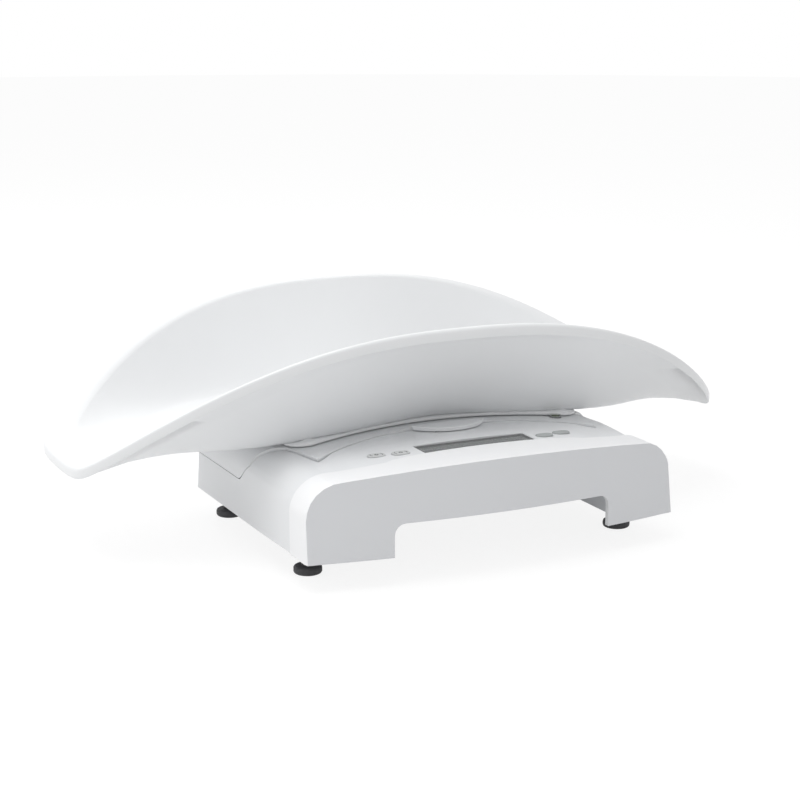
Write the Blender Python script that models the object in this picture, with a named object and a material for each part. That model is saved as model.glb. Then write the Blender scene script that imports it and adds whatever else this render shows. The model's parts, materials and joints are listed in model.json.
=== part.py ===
"""A digital baby weighing scale: a lift-off tray on a bridge-shaped base.

Metres, +Z up. X runs along the tray, Y from the display at the front to the back.
The origin lies on the floor, under the middle of the whole object.
"""

import math

import bmesh
import bpy
from mathutils import Vector

# clearances and counts shared by all pieces
FIT = 0.0003
OVERRUN = 0.010
ROUND_SIDES = 24
SMALL_SIDES = 16

# body of the base, seen from the front
BODY_HALF_WIDTH = 0.149
BODY_DRAFT = 0.002
BODY_TOP = 0.0844
BODY_CROWN = 0.0089
SHOULDER_RADIUS = 0.026
LEG_BOTTOM = 0.021
ARCH_HALF_WIDTH = 0.0866
ARCH_TOP = 0.0452
ARCH_CORNER = 0.008

# body of the base, seen from above, measured from the middle of the four feet
FRONT_REACH = 0.1394
FRONT_SAGITTA = 0.0157
BACK_REACH = 0.0977
FRONT_CORNER = 0.007
BACK_CORNER = 0.005
BAND_DEPTH = 0.038
BAND_STEP = 0.0015
SHELL_WALL = 0.0025

# weighing platform
PLATFORM_ARC_RADIUS = 0.205
PLATFORM_ARC_APEX = -0.0315
PLATFORM_WALL = 0.0026
SEAM_GAP = 0.0008
SIDE_GAP = 0.0020
SKIRT_BOTTOM = 0.050
SEAM_CORNER_X = 0.1150
SEAM_BEND_X = 0.122
SEAM_BEND_Y = -0.026
SEAM_SIDE_Y = -0.0032
SEAM_RUN_SHARES = ((0.0, 0.0), (0.15, 0.18), (0.36, 0.42), (0.61, 0.68), (0.85, 0.86), (1.0, 1.0))
SEAM_DROP_HEIGHT = 0.063
SEAM_DROP_START = -0.010
SEAM_DROP_END = 0.009
SEAM_STEPS = 8
CORE_TOP = 0.073
WEIGH_TRAVEL = 0.0004

# tray
TRAY_LENGTH = 0.5476
TRAY_WIDTH = 0.256
TRAY_SHIFT = 0.052
TRAY_WALL = 0.003
TRAY_REACH_SHARE = 1.0866
TRAY_SIDE_POWER = 3.16
TRAY_END_POWER = 1.52
RIM_MIDDLE_HEIGHT = 0.157
RIM_TIP_HEIGHT = 0.040
RIM_SPAN_SHARE = 1.0771
RIM_POWER = 2.52
BLEND = 0.0099
RIM_LIP = 0.009
RIM_ROUND = 0.003
FLANGE_SIDE = 0.0075
FLANGE_END = 0.024
FLANGE_RISE = 0.005
FLANGE_DIP = 0.001
FLOOR_HEIGHT = 0.091
FLOOR_DROP = 0.020
FLOOR_POWER = 1.5
FLAT_MIDDLE_SHARE = 0.60
FLAT_BULGE_SHARE = 0.70
FLAT_TIP_SHARE = -0.60
RING_SPREAD = 1.6
FLANGE_POWER = 6
WALL_POWER = 1.4
SEAT_ARC_RADIUS = 0.380
SEAT_FRONT = -0.0165
SEAT_BACK = 0.080
SEAT_HALF_WIDTH = 0.118
SEAT_CORNER = 0.012
SEAT_CORNER_STEPS = 4
SEAT_WALL = 0.003
PEG_RADIUS = 0.004
PEG_X = 0.078
PEG_FRONT = -0.016
PEG_BACK = 0.066
PEG_TIP = 0.0765
LUG_HALF_WIDTH = 0.008
LUG_FRONT = -0.014
LUG_DEPTH = 0.004
LUG_GAP = 0.0006

# load cell and what it carries
CELL_LENGTH = 0.080
CELL_SIZE = 0.0127
CELL_Y = 0.025
CELL_GAP = 0.0006
CELL_HOLE_RADIUS = 0.0038
CELL_HOLE_SPREAD = 0.0065
CELL_SCREW_INSET = 0.0075
CELL_SCREW_PITCH = 0.015
SPACER_LENGTH = 0.026
SPACER_WIDTH = 0.020
LOWER_SPACER = 0.0037
FRAME_HALF_LENGTH = 0.060
FRAME_FRONT = -0.020
FRAME_BACK = 0.070
FRAME_SHEET = 0.0025
FRAME_BOTTOM = 0.0755
FRAME_WINDOW = 0.026
BOSS_RADIUS = 0.0045
BOSS_X = 0.050
BOSS_INSET = 0.010
M4_RADIUS = 0.0019
M4_HOLE = 0.0022
M4_HEAD_RADIUS = 0.0035
M4_HEAD = 0.002
M4_LENGTH = 0.0180

# base plate that closes the housing from below
PLATE_SHEET = 0.0025
PLATE_FLOOR = 0.030
PLATE_CEILING = 0.046
PLATE_WALL_X = 0.0876
POST_X = 0.0975
POST_Y = 0.068
POST_RADIUS = 0.004
TAP_RADIUS = 0.0015
TAP_SCREW_RADIUS = 0.0013
TAP_HEAD_RADIUS = 0.003
TAP_HEAD = 0.002
TAP_LENGTH = 0.012

# feet
FOOT_X = 0.129
FOOT_Y = 0.0787
PAD_RADIUS = 0.0104
PAD_HEIGHT = 0.0058
PAD_EDGE = 0.0012
COLLAR_RADIUS = 0.0050
COLLAR_HEIGHT = 0.0034
STUD_RADIUS = 0.0028
STUD_TOP = 0.040
INSERT_RADIUS = 0.005
INSERT_FLANGE = 0.008
INSERT_BOTTOM = 0.023
INSERT_FLANGE_HEIGHT = 0.002

# display and keys
DISPLAY_X = 0.0015
DISPLAY_Y = -0.0865
WINDOW_HALF_LENGTH = 0.0455
WINDOW_HALF_DEPTH = 0.0122
WINDOW_SHEET = 0.0014
WINDOW_TOP = 0.0818
WINDOW_LEDGE = 0.003
DISPLAY_PAD = 0.003
LEDGE_SHEET = 0.0017
LCD_SHEET = 0.0028
CARRIER_HEIGHT = 0.0032
CARRIER_WALL = 0.002
BOARD_HALF_LENGTH = 0.088
BOARD_FRONT = -0.112
BOARD_BACK = -0.062
BOARD_SHEET = 0.0016
KEY_INNER_X = 0.0592
KEY_INNER_Y = -0.0863
KEY_OUTER_X = 0.0762
KEY_OUTER_Y = -0.0815
KEY_HALF_LENGTH = 0.0069
KEY_HALF_DEPTH = 0.0045
KEY_PROUD = 0.0008
KEY_FLANGE = 0.0010
KEY_TRAVEL = 0.0008
SWITCH_SIZE = 0.006
SWITCH_HEIGHT = 0.0027
PLUNGER_RADIUS = 0.0017
PLUNGER_HEIGHT = 0.0006
BOARD_SCREW_X = 0.080
BOARD_SCREW_Y = -0.102

# tray release
RELEASE_X = 0.0050
RELEASE_HALF_WIDTH = 0.0302
RELEASE_FRONT = -0.0515
RELEASE_TOP = 0.0866
RELEASE_BOTTOM = 0.0834
RELEASE_TRAVEL = 0.0015
SLIDER_HALF_WIDTH = 0.012
SLIDER_SHEET = 0.003
SLIDER_GAP = 0.0004
SLIDER_BACK = 0.0
NECK_HALF_WIDTH = 0.009
NECK_FRONT = -0.0445
NECK_BACK = -0.0375
NECK_SLOT = 0.0020
RAIL_WEB = 0.0015
RAIL_FRONT = -0.0280
RAIL_BACK = -0.0075
RAIL_LENGTH = 0.006
SPRING_LENGTH = 0.0100
SPRING_COIL_RADIUS = 0.00125
SPRING_WIRE_RADIUS = 0.00025
SPRING_TURNS = 6
STOP_THICKNESS = 0.002
STOP_HALF_WIDTH = 0.003

# spirit level on the right shoulder
LEVEL_X = 0.098
LEVEL_Y = -0.0365
LEVEL_RADIUS = 0.0033
LEVEL_SLEEVE = 0.0007
LEVEL_HEIGHT = 0.0045
BEZEL_LIP = 0.0008
BEZEL_HEIGHT = 0.0006

# batteries in the left leg
CELL_RADIUS = 0.00725
AA_LENGTH = 0.0505
AA_NUB_RADIUS = 0.0027
AA_NUB = 0.0012
BATTERY_X = -0.1185
BATTERY_PITCH = 0.0151
BOX_WALL = 0.0015
CONTACT_SHEET = 0.0005
CONTACT_ROOM = 0.0016
DOOR_SHEET = 0.002

# lead from the load cell to the board
LEAD_RADIUS = 0.0010
LEAD_STEPS = 6

# a frame of reference: the object is centred over the origin
BASE_Y = (FRONT_REACH - TRAY_SHIFT - TRAY_WIDTH / 2) / 2
TRAY_Y = BASE_Y + TRAY_SHIFT

WHITE = (0.86, 0.87, 0.88)


def clear_scene():
    """Remove every object that the scene holds."""
    for item in list(bpy.data.objects):
        bpy.data.objects.remove(item, do_unlink=True)


def material(name, colour, roughness, metallic=0.0, alpha=1.0):
    """Make a Principled material."""
    made = bpy.data.materials.new(name)
    made.use_nodes = True
    shader = made.node_tree.nodes["Principled BSDF"]
    shader.inputs["Base Color"].default_value = (*colour, 1.0)
    shader.inputs["Roughness"].default_value = roughness
    shader.inputs["Metallic"].default_value = metallic
    shader.inputs["Alpha"].default_value = alpha
    made.diffuse_color = (*colour, alpha)
    return made


def add_object(name, mesh):
    """Link a mesh to the scene as an object."""
    item = bpy.data.objects.new(name, mesh)
    bpy.context.scene.collection.objects.link(item)
    return item


def finish_mesh(name, grid):
    """Turn a bmesh into an object with outward faces."""
    bmesh.ops.recalc_face_normals(grid, faces=grid.faces)
    mesh = bpy.data.meshes.new(name)
    grid.to_mesh(mesh)
    grid.free()
    return add_object(name, mesh)


def prism(name, outline, low, high, axis):
    """Extrude a closed outline along an axis.

    Along X the outline holds (y, z), along Y it holds (x, z), along Z it holds (x, y).
    """
    places = {
        "X": lambda a, b, c: (c, a, b),
        "Y": lambda a, b, c: (a, c, b),
        "Z": lambda a, b, c: (a, b, c),
    }
    grid = bmesh.new()
    rings = [[grid.verts.new(places[axis](a, b, c)) for a, b in outline] for c in (low, high)]
    count = len(outline)
    for i in range(count):
        j = (i + 1) % count
        grid.faces.new((rings[0][i], rings[0][j], rings[1][j], rings[1][i]))
    grid.faces.new(rings[0])
    grid.faces.new(rings[1])
    return finish_mesh(name, grid)


def box(name, low, high):
    """Make a box between two corners."""
    outline = [(low[0], low[1]), (high[0], low[1]), (high[0], high[1]), (low[0], high[1])]
    return prism(name, outline, low[2], high[2], "Z")


def circle(radius, sides, centre=(0.0, 0.0)):
    """Give the points of a circle."""
    turn = math.tau / sides
    return [
        (centre[0] + radius * math.cos(turn * i), centre[1] + radius * math.sin(turn * i))
        for i in range(sides)
    ]


def turned(name, profile, centre, sides=ROUND_SIDES):
    """Turn a profile of (radius, height) about a vertical axis, open or on the axis."""
    grid = bmesh.new()
    rings = []
    for radius, height in profile:
        if radius > 0:
            ring = circle(radius, sides, centre)
            rings.append([grid.verts.new((x, y, height)) for x, y in ring])
        else:
            rings.append([grid.verts.new((*centre, height))])
    for first, second in zip(rings, rings[1:]):
        join_rings(grid, first, second)
    return finish_mesh(name, grid)


def join_rings(grid, first, second):
    """Join two rings of vertices, either of which may be one point."""
    count = max(len(first), len(second))
    for i in range(count):
        j = (i + 1) % count
        corners = [first[i % len(first)], first[j % len(first)]]
        corners += [second[j % len(second)], second[i % len(second)]]
        distinct = list(dict.fromkeys(corners))
        if len(distinct) > 2:
            grid.faces.new(distinct)


def cylinder(name, radius, low, high, centre, sides=ROUND_SIDES):
    """Make an upright cylinder."""
    return turned(name, [(0, low), (radius, low), (radius, high), (0, high)], centre, sides)


def combine(item, tool, operation):
    """Apply a Boolean with one tool, and remove the tool."""
    cut = item.modifiers.new("cut", "BOOLEAN")
    cut.operation = operation
    cut.solver = "EXACT"
    cut.object = tool
    graph = bpy.context.evaluated_depsgraph_get()
    mesh = bpy.data.meshes.new_from_object(item.evaluated_get(graph))
    item.modifiers.clear()
    item.data = mesh
    bpy.data.objects.remove(tool, do_unlink=True)
    return item


def cut(item, *tools):
    """Take tools away from an item."""
    for tool in tools:
        combine(item, tool, "DIFFERENCE")
    return item


def join(item, *tools):
    """Add tools to an item."""
    for tool in tools:
        combine(item, tool, "UNION")
    return item


def keep(item, *tools):
    """Keep what an item shares with tools."""
    for tool in tools:
        combine(item, tool, "INTERSECT")
    return item


def tidy(item):
    """Merge doubled points and melt flat neighbours left by the cuts."""
    grid = bmesh.new()
    grid.from_mesh(item.data)
    bmesh.ops.remove_doubles(grid, verts=grid.verts, dist=FIT / 100)
    flat = math.radians(0.05)
    bmesh.ops.dissolve_limit(grid, angle_limit=flat, verts=grid.verts, edges=grid.edges)
    bmesh.ops.triangulate(grid, faces=grid.faces)
    grid.to_mesh(item.data)
    grid.free()
    return item


def finish(item, name, look, origin=None, smooth=True):
    """Name an object, give it its material, and set its origin."""
    item.name = name
    item.data.name = name
    item.data.materials.clear()
    item.data.materials.append(look)
    if smooth:
        item.data.shade_smooth()
        item.data.set_sharp_from_angle(angle=math.radians(30))
    if origin is not None:
        place = Vector(origin)
        for vertex in item.data.vertices:
            vertex.co -= place
        item.location = place
    return item


def at(y):
    """Turn a distance behind the middle of the feet into a world Y."""
    return BASE_Y + y


def crown(x, inset):
    """Height of the body's top at x, lowered by an inset."""
    return BODY_TOP - BODY_CROWN * (x / BODY_HALF_WIDTH) ** 2 - inset


def side_x(height, inset):
    """Half width of the body at a height below the shoulder."""
    rise = (height - LEG_BOTTOM) / (BODY_TOP - SHOULDER_RADIUS - LEG_BOTTOM)
    return BODY_HALF_WIDTH - inset - BODY_DRAFT * rise


def body_profile(inset, bottom, top_steps=10, corner_steps=6):
    """Front view of the body: legs' sides, round shoulders and crowned top."""
    radius = SHOULDER_RADIUS - inset
    middle = BODY_HALF_WIDTH - BODY_DRAFT - SHOULDER_RADIUS
    top = crown(middle, inset)
    points = [(side_x(bottom, inset), bottom)]
    for i in range(corner_steps + 1):
        angle = math.pi / 2 * i / corner_steps
        points.append((middle + radius * math.cos(angle), top - radius + radius * math.sin(angle)))
    for i in range(1, top_steps):
        x = middle - 2 * middle * i / top_steps
        points.append((x, crown(x, inset)))
    for i in range(corner_steps + 1):
        angle = math.pi / 2 * (1 + i / corner_steps)
        points.append((-middle + radius * math.cos(angle), top - radius + radius * math.sin(angle)))
    points.append((-side_x(bottom, inset), bottom))
    return points


def front_y(x, inset):
    """World Y of the bowed front face at x, moved back by an inset."""
    bow = FRONT_SAGITTA * (x / BODY_HALF_WIDTH) ** 2
    return at(bow + inset - FRONT_REACH)


def corner_arc(centre, radius, start, steps):
    """Give the points of a quarter circle."""
    points = []
    for i in range(steps + 1):
        angle = start + math.pi / 2 * i / steps
        points.append((centre[0] + radius * math.cos(angle), centre[1] + radius * math.sin(angle)))
    return points


def plan_outline(inset, front_steps=14, corner_steps=4):
    """Top view of the body: bowed front, straight sides, round corners."""
    half = BODY_HALF_WIDTH - inset
    front = FRONT_CORNER
    back = max(BACK_CORNER - inset, FIT)
    reach = half - front
    points = []
    for i in range(front_steps + 1):
        x = -reach + 2 * reach * i / front_steps
        points.append((x, front_y(x, inset)))
    edge = front_y(reach, inset) + front
    points += corner_arc((reach, edge), front, -math.pi / 2, corner_steps)[1:]
    rear = at(BACK_REACH - inset)
    points += corner_arc((half - back, rear - back), back, 0.0, corner_steps)
    points += corner_arc((back - half, rear - back), back, math.pi / 2, corner_steps)
    points += corner_arc((-reach, edge), front, math.pi, corner_steps)[:-1]
    return points


def body_block(inset, bottom, front=None, back=None):
    """A solid of the body's outline, moved in by an inset."""
    low = at(-FRONT_REACH - OVERRUN) if front is None else front
    high = at(BACK_REACH + OVERRUN) if back is None else back
    block = prism("block", body_profile(inset, bottom), low, high, "Y")
    ceiling = BODY_TOP + OVERRUN
    plan = prism("plan", plan_outline(inset), bottom - OVERRUN, ceiling, "Z")
    return keep(block, plan)


def arc_y(x, shift, radius=PLATFORM_ARC_RADIUS, apex=PLATFORM_ARC_APEX):
    """World Y of an arc that is hollow towards the front."""
    return at(apex + shift - radius + math.sqrt(radius**2 - x**2))


def shoulder_seam(gap):
    """Top view of the seam on the right shoulder, from its front corner to the side wall."""
    run_x = BODY_HALF_WIDTH - SEAM_BEND_X
    run_y = SEAM_SIDE_Y - SEAM_BEND_Y
    corner = SEAM_CORNER_X + gap
    line = [(corner, arc_y(corner, -gap))]
    for along, back in SEAM_RUN_SHARES:
        line.append((SEAM_BEND_X + run_x * along + gap, at(SEAM_BEND_Y + run_y * back) - gap))
    return line


def platform_zone(gap, steps=24):
    """The space above the seam: behind the front arc, and inside the line over each shoulder."""
    reach = BODY_HALF_WIDTH + OVERRUN
    rear = at(BACK_REACH) + OVERRUN
    right = shoulder_seam(gap)
    right.append((reach, right[-1][1]))
    plan = [(reach, rear), (-reach, rear)]
    plan += [(-x, y) for x, y in reversed(right)]
    edge = right[0][0]
    for i in range(1, steps):
        x = -edge + 2 * edge * i / steps
        plan.append((x, arc_y(x, -gap)))
    plan += right
    zone = prism("zone", plan, SKIRT_BOTTOM - gap - OVERRUN, BODY_TOP + OVERRUN, "Z")
    low = SKIRT_BOTTOM - gap
    fall = SEAM_DROP_HEIGHT - SKIRT_BOTTOM
    side = [(at(-FRONT_REACH), low + fall)]
    for i in range(SEAM_STEPS + 1):
        share = i / SEAM_STEPS
        y = at(SEAM_DROP_START + (SEAM_DROP_END - SEAM_DROP_START) * share)
        side.append((y, low + fall * (1 - share**2 * (3 - 2 * share))))
    high = BODY_TOP + 2 * OVERRUN
    side += [(rear + OVERRUN, low), (rear + OVERRUN, high), (at(-FRONT_REACH), high)]
    slab = prism("side", side, -reach - OVERRUN, reach + OVERRUN, "X")
    return keep(zone, slab)


def arch_cutter(low, high):
    """The passage between the legs, with rounded upper corners."""
    radius = ARCH_CORNER
    x = ARCH_HALF_WIDTH - radius
    top = ARCH_TOP - radius
    outline = [(-ARCH_HALF_WIDTH, LEG_BOTTOM - OVERRUN), (ARCH_HALF_WIDTH, LEG_BOTTOM - OVERRUN)]
    outline += corner_arc((x, top), radius, 0.0, 4)
    outline += corner_arc((-x, top), radius, math.pi / 2, 4)
    return prism("arch", outline, low, high, "Y")


def oval(half_length, half_depth, centre, steps=8):
    """Outline of a flat oval with round ends."""
    x, y = centre
    run = half_length - half_depth
    right = corner_arc((x + run, y), half_depth, -math.pi / 2, steps // 2)
    right += corner_arc((x + run, y), half_depth, 0.0, steps // 2)[1:]
    left = [(2 * x - a, 2 * y - b) for a, b in right]
    return right + left


def panel_under(x):
    """Height of the panel's underside at x."""
    return crown(x, BAND_STEP + SHELL_WALL)


def make_housing():
    """The bridge-shaped shell with its panel, recess, posts and bosses."""
    band_end = at(BAND_DEPTH - FRONT_REACH)
    shell = body_block(0.0, LEG_BOTTOM, back=band_end)
    join(shell, body_block(BAND_STEP, LEG_BOTTOM, front=band_end - SHELL_WALL))
    cut(shell, platform_zone(SEAM_GAP))
    core_inset = PLATFORM_WALL + SIDE_GAP
    core = body_block(core_inset, LEG_BOTTOM)
    lid = at(-FRONT_REACH)
    rear = at(BACK_REACH)
    reach = BODY_HALF_WIDTH
    ceiling = BODY_TOP + OVERRUN
    cut(core, box("above", (-reach, lid - OVERRUN, CORE_TOP), (reach, rear + OVERRUN, ceiling)))
    join(shell, core)
    wall = BAND_STEP + SHELL_WALL
    hollow = body_block(wall, LEG_BOTTOM - OVERRUN)
    cut(hollow, platform_zone(SEAM_GAP + SHELL_WALL))
    inner = body_block(core_inset + SHELL_WALL, LEG_BOTTOM - OVERRUN)
    top = CORE_TOP - SHELL_WALL
    cut(inner, box("above", (-reach, lid - OVERRUN, top), (reach, rear + OVERRUN, ceiling)))
    join(hollow, inner)
    cut(shell, hollow)
    cut(shell, arch_cutter(lid - OVERRUN, rear + OVERRUN))
    add_posts(shell)
    add_panel(shell)
    return finish(tidy(shell), "base_housing", material("white_housing", WHITE, 0.38))


def add_posts(shell):
    """Screw posts in the legs, and bosses for the board under the panel."""
    tap_top = PLATE_FLOOR + TAP_LENGTH + FIT
    low = PLATE_FLOOR + PLATE_SHEET + FIT
    for place in post_places():
        high = CORE_TOP - FIT if place[1] > BASE_Y else panel_under(POST_X) + BAND_STEP
        join(shell, cylinder("post", POST_RADIUS, low, high, place, SMALL_SIDES))
        cut(shell, cylinder("tap", TAP_RADIUS, low - FIT, tap_top, place, SMALL_SIDES))
    low = board_top() + FIT
    for x in (-BOARD_SCREW_X, BOARD_SCREW_X):
        place = (x, at(BOARD_SCREW_Y))
        high = panel_under(x) + BAND_STEP
        join(shell, cylinder("boss", TAP_HEAD_RADIUS, low, high, place, SMALL_SIDES))
        cut(shell, cylinder("tap", TAP_RADIUS, low - FIT, high - BAND_STEP, place, SMALL_SIDES))


def display_box(name, inset, bottom, top):
    """A box of the display window's outline, moved in by an inset."""
    x = WINDOW_HALF_LENGTH - inset
    y = WINDOW_HALF_DEPTH - inset
    middle = at(DISPLAY_Y)
    return box(name, (DISPLAY_X - x, middle - y, bottom), (DISPLAY_X + x, middle + y, top))


def key_places():
    """Where the four keys stand, from left to right."""
    outer = at(KEY_OUTER_Y)
    inner = at(KEY_INNER_Y)
    return [(-KEY_OUTER_X, outer), (-KEY_INNER_X, inner), (KEY_INNER_X, inner), (KEY_OUTER_X, outer)]


def add_panel(shell):
    """Openings for the display, the keys, the release and the load cell."""
    seat = WINDOW_TOP - WINDOW_SHEET - FIT
    low = seat - LEDGE_SHEET
    ceiling = BODY_TOP + OVERRUN
    edge = DISPLAY_X + WINDOW_HALF_LENGTH
    join(shell, display_box("pad", -DISPLAY_PAD, low, panel_under(edge) + BAND_STEP))
    cut(shell, display_box("window", 0.0, seat, ceiling))
    cut(shell, display_box("view", WINDOW_LEDGE, low - OVERRUN, ceiling))
    for x, y in key_places():
        outline = oval(KEY_HALF_LENGTH + FIT, KEY_HALF_DEPTH + FIT, (x, y))
        cut(shell, prism("key_hole", outline, panel_under(x) - BAND_STEP, ceiling, "Z"))
    side = NECK_HALF_WIDTH + NECK_SLOT
    slot_back = at(PLATFORM_ARC_APEX) + NECK_SLOT
    low = (-side, at(NECK_FRONT) - NECK_SLOT, slider_bottom() - NECK_SLOT)
    cut(shell, box("neck_slot", low, (side, slot_back, ceiling)))
    x = CELL_LENGTH / 2 - SPACER_LENGTH / 2
    half = (SPACER_LENGTH / 2 + NECK_SLOT, SPACER_WIDTH / 2 + NECK_SLOT)
    low = (x - half[0], at(CELL_Y) - half[1], CORE_TOP - SHELL_WALL - OVERRUN)
    cut(shell, box("cell_hole", low, (x + half[0], at(CELL_Y) + half[1], CORE_TOP + FIT)))


def make_platform():
    """The top cover that rides on the load cell."""
    cover = body_block(0.0, SKIRT_BOTTOM - OVERRUN)
    keep(cover, platform_zone(0.0))
    cut(cover, body_block(PLATFORM_WALL, SKIRT_BOTTOM - 2 * OVERRUN))
    top = crown(BOSS_X, PLATFORM_WALL / 2)
    for x in (-BOSS_X, BOSS_X):
        for y in (FRAME_FRONT + BOSS_INSET, FRAME_BACK - BOSS_INSET):
            place = (x, at(y))
            join(cover, cylinder("boss", BOSS_RADIUS, frame_top() + FIT, top, place, SMALL_SIDES))
    add_rails(cover)
    ceiling = BODY_TOP + OVERRUN
    for place in peg_places():
        low = PEG_TIP - OVERRUN
        cut(cover, cylinder("peg_hole", PEG_RADIUS + FIT, low, ceiling, place, SMALL_SIDES))
    half = LUG_HALF_WIDTH + LUG_GAP
    low = (-half, at(LUG_FRONT) - LUG_GAP, frame_top())
    back = at(LUG_FRONT + LUG_DEPTH) + LUG_GAP
    cut(cover, box("lug_slot", low, (half, back, ceiling)))
    radius = LEVEL_RADIUS + LEVEL_SLEEVE + 2 * FIT
    place = (LEVEL_X, at(LEVEL_Y))
    cut(cover, cylinder("level_hole", radius, frame_top() - OVERRUN, ceiling, place))
    return finish(tidy(cover), "weighing_platform", material("white_platform", WHITE, 0.36))


def add_rails(cover):
    """Two pairs of guides beside the release slider, and its spring's stop."""
    under = crown(0.0, PLATFORM_WALL)
    inner = SLIDER_HALF_WIDTH + FIT
    low = frame_top() + FIT
    for side in (-1, 1):
        web = sorted((side * inner, side * (inner + RAIL_WEB)))
        for y in (at(RAIL_FRONT), at(RAIL_BACK)):
            join(cover, box("web", (web[0], y, low), (web[1], y + RAIL_LENGTH, under + FIT)))
    front = at(SLIDER_BACK + SPRING_LENGTH)
    back = front + STOP_THICKNESS
    half = STOP_HALF_WIDTH
    join(cover, box("stop", (-half, front, low), (half, back, under + FIT)))


def frame_top():
    """Height of the metal frame's upper face."""
    return FRAME_BOTTOM + FRAME_SHEET


def slider_bottom():
    """Height of the release slider's lower face."""
    return frame_top() + SLIDER_GAP


def board_top():
    """Height of the circuit board's upper face."""
    stack = WINDOW_SHEET + LEDGE_SHEET + LCD_SHEET + CARRIER_HEIGHT
    return WINDOW_TOP - stack - 4 * FIT


def peg_places():
    """Where the tray's four locating pegs stand."""
    return [(x, at(y)) for x in (-PEG_X, PEG_X) for y in (PEG_FRONT, PEG_BACK)]


def soft_min(a, b):
    """The smaller of two lengths, with a rounded change-over."""
    return (a + b - math.sqrt((a - b) ** 2 + BLEND**2)) / 2


def soft_max(a, b):
    """The larger of two lengths, with a rounded change-over."""
    return (a + b + math.sqrt((a - b) ** 2 + BLEND**2)) / 2


def tray_edge(angle):
    """Outer edge of the tray at an angle about its middle, with the rim's lower height."""
    reach = TRAY_LENGTH / 2 * TRAY_REACH_SHARE
    x = reach * math.cos(angle)
    share = max(0.0, 1 - abs(x / reach) ** TRAY_SIDE_POWER)
    y = math.copysign(TRAY_WIDTH / 2 * share ** (1 / TRAY_END_POWER), math.sin(angle))
    x = math.copysign(min(soft_min(abs(x), TRAY_LENGTH / 2), TRAY_LENGTH / 2), x)
    span = TRAY_LENGTH / 2 * RIM_SPAN_SHARE
    drop = (RIM_MIDDLE_HEIGHT - RIM_TIP_HEIGHT) * (abs(x) / span) ** RIM_POWER
    return x, y, soft_max(RIM_TIP_HEIGHT, RIM_MIDDLE_HEIGHT - drop)


def tray_floor(x):
    """Height of the tray's upper face along its middle line."""
    return FLOOR_HEIGHT - FLOOR_DROP * (2 * abs(x) / TRAY_LENGTH) ** FLOOR_POWER


def tray_angles(count, samples=720):
    """Angles of points that lie about evenly round the tray's edge."""
    fine = [math.tau * i / samples for i in range(samples + 1)]
    places = [Vector(tray_edge(a)) for a in fine]
    run = [0.0]
    for a, b in zip(places, places[1:]):
        run.append(run[-1] + (b - a).length)
    angles = []
    j = 0
    for i in range(count):
        target = run[-1] * i / count
        while run[j + 1] < target:
            j += 1
        share = (target - run[j]) / (run[j + 1] - run[j])
        angles.append(fine[j] + (fine[j + 1] - fine[j]) * share)
    return angles


def tray_rings(count=64, floor_steps=9):
    """Rings of the tray's upper face, from the lip's lower edge to the middle."""
    edge = [tray_edge(angle) for angle in tray_angles(count)]
    rings = [[Vector((x, y, z)) for x, y, z in edge]]
    for step in range(3):
        angle = math.pi / 4 * step
        inset = RIM_ROUND * (1 - math.cos(angle))
        height = RIM_LIP - RIM_ROUND + RIM_ROUND * math.sin(angle)
        rings.append([rim_point(*point, inset, height) for point in edge])
    inner = []
    for point in edge:
        share = abs(2 * point[0] / TRAY_LENGTH)
        x = point[0] * (1 - 2 * FLANGE_END / TRAY_LENGTH)
        y = point[1] * (1 - 2 * FLANGE_SIDE / TRAY_WIDTH)
        z = point[2] + RIM_LIP - FLANGE_DIP + FLANGE_RISE * share**FLANGE_POWER
        inner.append(Vector((x, y, z)))
    rings.append(inner)
    for step in range(1, floor_steps + 1):
        along = 1 - (step / floor_steps) ** RING_SPREAD
        rings.append([basin_point(point, along) for point in inner])
    return rings


def rim_point(x, y, z, inset, height):
    """A point on the lip, moved in towards the middle and up."""
    reach = Vector((x, y))
    reach *= 1 - inset / reach.length
    return Vector((reach.x, reach.y, z + height))


def basin_point(point, along):
    """A point of the basin on the way from the middle to an inner rim point."""
    share = abs(2 * point.x / TRAY_LENGTH)
    flat = FLAT_MIDDLE_SHARE + FLAT_BULGE_SHARE * share**2 + FLAT_TIP_SHARE * share**4
    rise = max(0.0, (along - flat) / (1 - flat)) ** WALL_POWER if flat < 1 else 0.0
    x = point.x * along
    floor = tray_floor(x)
    return Vector((x, point.y * along, floor + (point.z - floor) * rise))


def tray_shell():
    """The moulded shell: the upper face, and the same face one wall inside it."""
    rings = tray_rings()
    grid = bmesh.new()
    upper = [[grid.verts.new(p) for p in ring] for ring in rings[:-1]]
    top_middle = grid.verts.new(rings[-1][0])
    for first, second in zip(upper, upper[1:]):
        join_rings(grid, first, second)
    join_rings(grid, upper[-1], [top_middle])
    bmesh.ops.recalc_face_normals(grid, faces=grid.faces)
    if top_middle.normal.z < 0:
        bmesh.ops.reverse_faces(grid, faces=grid.faces)
    grid.normal_update()
    lip = [rim_point(*p, TRAY_WALL, 0.0) for p in rings[0]]
    under = [rim_point(*p, TRAY_WALL, RIM_LIP - TRAY_WALL) for p in rings[0]]
    lower = [lip, under]
    for ring in upper[4:]:
        lower.append([v.co - v.normal * TRAY_WALL for v in ring])
    lower = [[grid.verts.new(p) for p in ring] for ring in lower]
    low_middle = grid.verts.new(top_middle.co - Vector((0, 0, TRAY_WALL)))
    join_rings(grid, upper[0], lower[0])
    for first, second in zip(lower, lower[1:]):
        join_rings(grid, first, second)
    join_rings(grid, lower[-1], [low_middle])
    shell = finish_mesh("tray", grid)
    for vertex in shell.data.vertices:
        vertex.co.y += TRAY_Y
    return shell


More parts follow.
